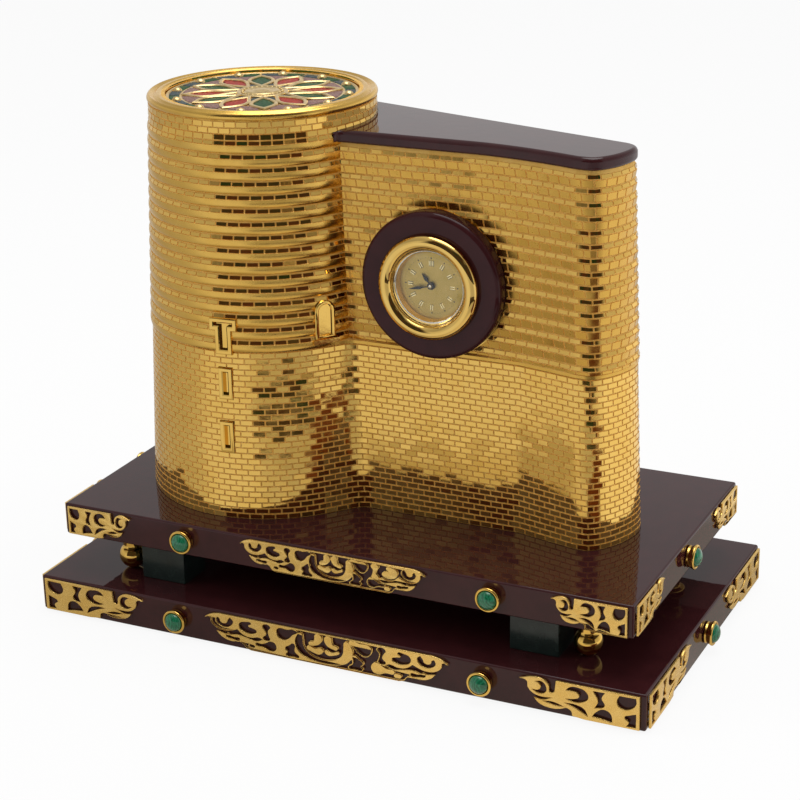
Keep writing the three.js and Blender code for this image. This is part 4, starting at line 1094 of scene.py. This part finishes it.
def cast_plate(name, outlines, run, rise, place):
    """A flat casting with openings, from outlines in shares of its run and rise."""
    drawing = bpy.data.curves.new(name, "CURVE")
    drawing.dimensions = "2D"
    drawing.fill_mode = "BOTH"
    drawing.resolution_u = 5
    drawing.extrude = (plate_thickness / 2 - plate_edge) * MM
    drawing.bevel_depth = plate_edge * MM
    drawing.bevel_resolution = 2
    drawing.offset = -plate_edge * MM
    for outline in outlines:
        spline = drawing.splines.new("BEZIER")
        spline.bezier_points.add(len(outline) - 1)
        spline.use_cyclic_u = True
        for knot, point in zip(spline.bezier_points, outline):
            knot.co = Vector((point[0] * run, point[1] * rise, 0)) * MM
            kind = "VECTOR" if len(point) > 2 else "AUTO"
            knot.handle_left_type = knot.handle_right_type = kind
    drawn = new_piece(name + "_drawing", drawing)
    view = bpy.context.evaluated_depsgraph_get()
    mesh = bpy.data.meshes.new_from_object(drawn.evaluated_get(view))
    bpy.data.objects.remove(drawn)
    build = bmesh.new()
    build.from_mesh(mesh)
    bmesh.ops.remove_doubles(build, verts=build.verts[:], dist=0.004 * MM)
    build.to_mesh(mesh)
    build.free()
    mesh.transform(place)
    mesh.materials.clear()
    mesh.shade_smooth()
    mesh.set_sharp_from_angle(angle=math.radians(50))
    return new_piece(name, mesh)


def face_place(side, width, depth, bottom):
    """The matrix of a slab face: X runs to the right as seen from outside, Y up and Z out."""
    along, out, middle = {
        "front": ((1, 0, 0), (0, -1, 0), (0, -depth / 2)),
        "right": ((0, 1, 0), (1, 0, 0), (width / 2, 0)),
        "left": ((0, -1, 0), (-1, 0, 0), (-width / 2, 0))}[side]
    place = Matrix((along, (0, 0, 1), out)).transposed().to_4x4()
    place.translation = Vector((*middle, bottom)) * MM
    return place


slab_faces = []
for level, corner_run, centre_run in [("lower", 57.0, 64.0), ("upper", 36.0, 48.5)]:
    low, high = corners(level + "_slab")
    size = high - low
    rise = size.z - 2 * plate_gap
    plates = []
    for side, *ends in [("front", "left", "right"), ("right", "front", "back"), ("left", "back", "front")]:
        place = face_place(side, size.x, size.y, low.z)
        slab_faces.append((level, side, place, size))
        reach = (size.x if side == "front" else size.y) / 2 - corner_gap
        for end, sign in zip(ends, (-1, 1)):
            plates.append((f"{side}_{end}", corner_outlines, -sign * corner_run, place, sign * reach))
    front = face_place("front", size.x, size.y, low.z)
    plates.append(("front_centre", centre_outlines, centre_run, front, 0))
    for spot, outlines, run, place, x in plates:
        name = f"scroll_{level}_{spot}"
        settle(cast_plate("cast_" + name, outlines, run, rise, place @ at(x, plate_gap, plate_lift)),
               scroll_gold, "base", "gold", name)


# Set stones. Green malachite cut as domes, each held in a turned gilt collet whose lip is rolled
# over the stone. A collet is pinned on the slab edge: two on each front and one on each end.
malachite = finish_of("malachite", None, None, None, None, more=[
    ("Roughness", 0.12), ("Coat Weight", 0.6), ("Coat Roughness", 0.02)])
tree = malachite.node_tree
place = node(tree, "ShaderNodeTexCoord")
bands = node(tree, "ShaderNodeTexWave", wave_type="RINGS", rings_direction="SPHERICAL")
for socket, value in (("Scale", 330), ("Distortion", 7), ("Detail", 3), ("Detail Scale", 1.2)):
    bands.inputs[socket].default_value = value
greens = ramp(tree, bands.outputs["Fac"], [
    (0.0, (0.004, 0.085, 0.035)), (0.5, (0.007, 0.125, 0.055)), (1.0, (0.013, 0.165, 0.075))])
wire(tree, (place.outputs["Object"], bands.inputs["Vector"]),
     (greens, tree.nodes["Principled BSDF"].inputs["Base Color"]))
collet_profile = [(0, 0), (5.15, 0), (5.4, 0.35), (5.15, 0.8), (5.1, 1.5), (5.5, 2.1),
                  *arc((5.25, 3.45), 0.75, -40, 120, 8), (4.72, 3.9), (4.6, 3.2), (4.6, 0.9), (0, 0.9)]
stone_radius, dome_foot, dome_rise, stone_reach = 4.55, 3.6, 2.95, 80
stone_dome = [(stone_radius * math.cos(math.radians(a)), dome_foot + dome_rise * math.sin(math.radians(a)))
              for a in range(6, 90, 6)]
stone_profile = [(0, 1.2), (4.5, 1.2), (stone_radius, 3.5), *stone_dome, (0, dome_foot + dome_rise)]
for level, side, place, size in slab_faces:
    for suffix, x in [("_left", -stone_reach), ("_right", stone_reach)] if side == "front" else [("", 0)]:
        shift = place @ at(x, size.z / 2, 0.3)
        name = f"{level}_{side}{suffix}"
        settle(turned("turned_collet_" + name, collet_profile, shift, 48), gold, "base", "gold",
               "collet_" + name)
        settle(turned("cut_cabochon_" + name, stone_profile, shift, 48), malachite, "base", "malachite",
               "cabochon_" + name)


# Timber ring. A turned ring of lacquered wood, glued into its seat in the wall. The clock insert
# is pushed into its bore.
ring_radius, ring_back, ring_edge = 35.2, -7.6, 2.6
ring_profile = [(bore, ring_back), (ring_radius - 0.4, ring_back), (ring_radius, ring_back + 0.4),
                *arc((ring_radius - ring_edge, -ring_edge), ring_edge, 0, 90, 10),
                (bore + 0.6, 0), (bore, -0.6)]
settle(turned("turned_clock_ring", ring_profile, clock_place, 128, closed=True),
       lacquer_finish("ring_lacquer", 0.6), "base", "lacquer", "clock_ring")


# Bezel. A turned brass ring, gilt and polished, with a broad rounded face. Its inner step holds
# the crystal, and the flange below it runs down to the dial.
mirror_gold = finish_of("mirror_gold", 8, ((0.90, 0.58, 0.155), (0.93, 0.63, 0.19)), 3, (0.03, 0.06), 1.0)
crest_middle, crest_half, crest_foot, crest_rise = 21.65, 3.35, 1.3, 3.0
bezel_crest = [(crest_middle + crest_half * math.cos(math.radians(a)),
                crest_foot + crest_rise * math.sin(math.radians(a))) for a in range(8, 180, 9)]
bezel_profile = [(20.7, 0.3), (24.6, 0.3), (24.95, 0.6), (25.0, 1.2), *bezel_crest, (18.3, 0.45),
                 (17.0, 0.3), (16.7, -0.4), (15.9, -2.75), (20.7, -2.75)]
settle(turned("turned_bezel", bezel_profile, clock_place, 128, closed=True), mirror_gold, "insert",
       "gold", "bezel")


# Crystal. A domed mineral glass, held in the bezel's step by a thin ring of polished steel that
# shows round its edge.
glass = finish_of("mineral_glass", None, None, 6, (0.004, 0.014), more=[
    ("Base Color", (0.98, 0.99, 0.98, 1)), ("Transmission Weight", 1.0), ("IOR", 1.45)])
steel = finish_of("polished_steel", 4, ((0.70, 0.70, 0.69), (0.80, 0.80, 0.78)), 2, (0.12, 0.22), 1.0)
crystal_radius, crystal_foot, crystal_thickness, crystal_dome = 18.15, 0.55, 1.1, 1.5


def dome_line(radius, foot, rise, steps=10):
    """A dome's profile from its rim to its top."""
    turns = [math.pi / 2 * i / steps for i in range(steps)]
    return [*((radius * math.cos(a), foot + rise * math.sin(a)) for a in turns), (0, foot + rise)]


inside = dome_line(crystal_radius - 1.2, crystal_foot, crystal_dome)
outside = dome_line(crystal_radius, crystal_foot + crystal_thickness, crystal_dome)
crystal_profile = [*reversed(inside), (crystal_radius, crystal_foot), *outside]
settle(turned("domed_crystal", crystal_profile, clock_place, 96), glass, "insert", "crystal", "crystal")
tension_profile = [(16.7, -0.1), *arc((17.05, 0.0), 0.32, -60, 200, 8)]
settle(turned("tension_ring", tension_profile, clock_place, 96, closed=True), steel, "insert", "steel")


# Dial. A thin brass disc with a satin champagne finish. Gilt batons are riveted on it for the
# hours, each with a painted shadow, and the minute track is printed in black.
dial_gold = finish_of("champagne_dial", 5, ((0.60, 0.42, 0.105), (0.68, 0.48, 0.14)), 0.4, (0.36, 0.5),
                      0.85, waves=(0.3, 0.01))
bright_gilt = finish_of("bright_gilt", 1, ((0.95, 0.79, 0.40), (1.0, 0.86, 0.50)), 0.6, (0.14, 0.26), 0.9)
black_print = finish_of("black_print", 0.5, ((0.008, 0.008, 0.008), (0.02, 0.018, 0.02)), None, None,
                        more=[("Roughness", 0.5)])
dial_back, dial_top, dial_hole, dial_radius = -3.5, -3.1, 1.5, 20.0
dial_profile = [(dial_hole, dial_back), (dial_radius, dial_back), (dial_radius, dial_top),
                (dial_hole, dial_top)]
settle(turned("dial_disc", dial_profile, clock_place, 96, closed=True), dial_gold, "insert", "dial_gold",
       "dial")


def bar_outline(middle, length, width, across=0.0):
    return [(across + width / 2 * sx, middle + length / 2 * sy)
            for sx, sy in ((-1, -1), (1, -1), (1, 1), (-1, 1))]


def on_dial(outline, height):
    """A flat mark that is sunk a little in the dial and stands up from it by a height."""
    return [(outline, dial_top - 0.1), (outline, dial_top + height)]


# The middle, length and width of a baton, of its shadow, and of the track's hour and minute marks.
baton, shadow = (10.7, 2.5, 0.5), (10.6, 2.7, 0.66)
hour_mark, minute_mark = (13.1, 0.75, 0.55), (13.4, 0.3, 0.2)
baton_side, baton_top, ink = 0.22, 0.3, 0.03
batons, shadows, track = [], [], []
for hour in range(12):
    turn = -2 * math.pi * hour / 12
    for across in (-0.9, 0.0, 0.9) if hour == 0 else (-0.5, 0.5):
        outline = rotated(bar_outline(*baton, across), turn)
        batons.append([*on_dial(outline, baton_side), (shrunk(outline, 0.08), dial_top + baton_top)])
        shadows.append(on_dial(rotated(bar_outline(*shadow, across + 0.1), turn), ink))
    track.append(on_dial(rotated(bar_outline(*hour_mark), turn), 0.04))
track += [on_dial(rotated(bar_outline(*minute_mark), -2 * math.pi * minute / 60), ink)
          for minute in range(60) if minute % 5]
settle(many_prisms("hour_batons", batons, clock_place), bright_gilt, "insert", "dial_gold")
# The baton shadows are painted shadow, laid in the same black as the printed track.
settle(many_prisms("baton_shadows", shadows, clock_place), black_print, "insert", "black_hands")
settle(many_prisms("minute_track", track, clock_place), black_print, "insert", "black_hands")


# Hands. Two leaf hands, blanked from thin steel and blackened, pressed on the hour pipe and the
# minute arbor. A bright pin closes the middle.
hand_black = finish_of("blackened_steel", 2, ((0.010, 0.011, 0.014), (0.022, 0.024, 0.03)), 1,
                       (0.2, 0.32), 0.6)
# Half a leaf, as shares of its width and length.
leaf_shares = [(0.16, 0.10), (0.13, 0.30), (0.42, 0.48), (0.46, 0.56), (0.30, 0.74), (0.12, 0.92),
               (0.02, 1.0)]
hub_sides = 24


def leaf_hand(name, length, width, hub, foot, turn):
    """A hand on its round hub, at its height over the dial and its share of a full turn."""
    right = [(across * width, share * length) for across, share in leaf_shares]
    start = math.asin(right[0][0] / hub)
    turns = [start + (2 * math.pi - 2 * start) * i / hub_sides for i in range(1, hub_sides)]
    outline = [(-x, y) for x, y in right] + right[::-1]
    outline += [(hub * math.sin(a), hub * math.cos(a)) for a in turns]
    outline = rotated(outline[::-1], -2 * math.pi * turn)
    levels = [(outline, foot), (outline, foot + 0.22), (shrunk(outline, 0.04), foot + 0.3)]
    return many_prisms(name, [levels], clock_place)


hour_shown, minute_shown = 10, 43
settle(leaf_hand("leaf_hour_hand", length=7.2, width=2.0, hub=1.9, foot=-2.5,
                 turn=(hour_shown + minute_shown / 60) / 12),
       hand_black, "hour_works", "black_hands", "hour_hand")
settle(leaf_hand("leaf_minute_hand", length=11.2, width=1.6, hub=1.55, foot=-1.6, turn=minute_shown / 60),
       hand_black, "minute_works", "black_hands", "minute_hand")
pin_profile = [(0, -1.9), (0.62, -1.9), (0.62, -1.2), (0.5, -1.02), (0, -0.95)]
settle(turned("bright_pin", pin_profile, clock_place, 32), steel, "minute_works", "steel")


# Insert case. A drawn brass tube behind the bezel, with a ribbed rubber band that grips the bore
# of the timber ring, and a black moulded cap that closes its back.
brass = finish_of("drawn_brass", 3, ((0.66, 0.46, 0.17), (0.78, 0.57, 0.24)), 1.5, (0.24, 0.4), 1.0)
rubber = finish_of("black_rubber", 1.5, ((0.015, 0.015, 0.015), (0.03, 0.03, 0.029)), None, None,
                   waves=(0.3, 0.03), more=[("Roughness", 0.75)])
plastic = finish_of("black_moulding", 2, ((0.02, 0.02, 0.022), (0.032, 0.032, 0.034)), 0.8, (0.34, 0.5),
                    waves=(0.25, 0.01))
case_profile = [(21.0, -19.5), (22.0, -19.5), (22.3, -19.2), (22.3, 0), (21.0, 0)]
settle(turned("drawn_case", case_profile, clock_place, 128, closed=True), brass, "insert",
       "movement_brass", "insert_case")
band_inside, band_foot, band_width, ridges = 22.6, -9.2, 8.0, 5
ridge = [(23.15, 0.1), (23.6, 0.5), (23.68, 0.8), (23.6, 1.1), (23.15, 1.5)]
band_profile = [(band_inside, band_foot)]
for i in range(ridges):
    foot = band_foot + i * band_width / ridges
    band_profile += [(radius, foot + rise) for radius, rise in ridge]
band_profile.append((band_inside, band_foot + band_width))
settle(turned("ribbed_grip_band", band_profile, clock_place, 96, closed=True), rubber, "insert",
       "rubber", "grip_band")


def refinish(finish, *names):
    """Gives solids that stay in view their finish."""
    for name in names:
        for slot in bpy.data.objects[name].material_slots:
            slot.material = finish


refinish(plastic, "back_cap")


# Movement. A quartz works behind the dial, with a moulded plate and a setting knob. Its cannon
# pinion drives the motion wheel, whose own pinion drives the hour wheel. All three are cut from
# brass, and a button cell in a steel can feeds the works.
refinish(plastic, "main_plate", "setting_knob")
refinish(brass, "cannon_pinion", "hour_wheel", "motion_wheel")
refinish(steel, "battery")

low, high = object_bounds()
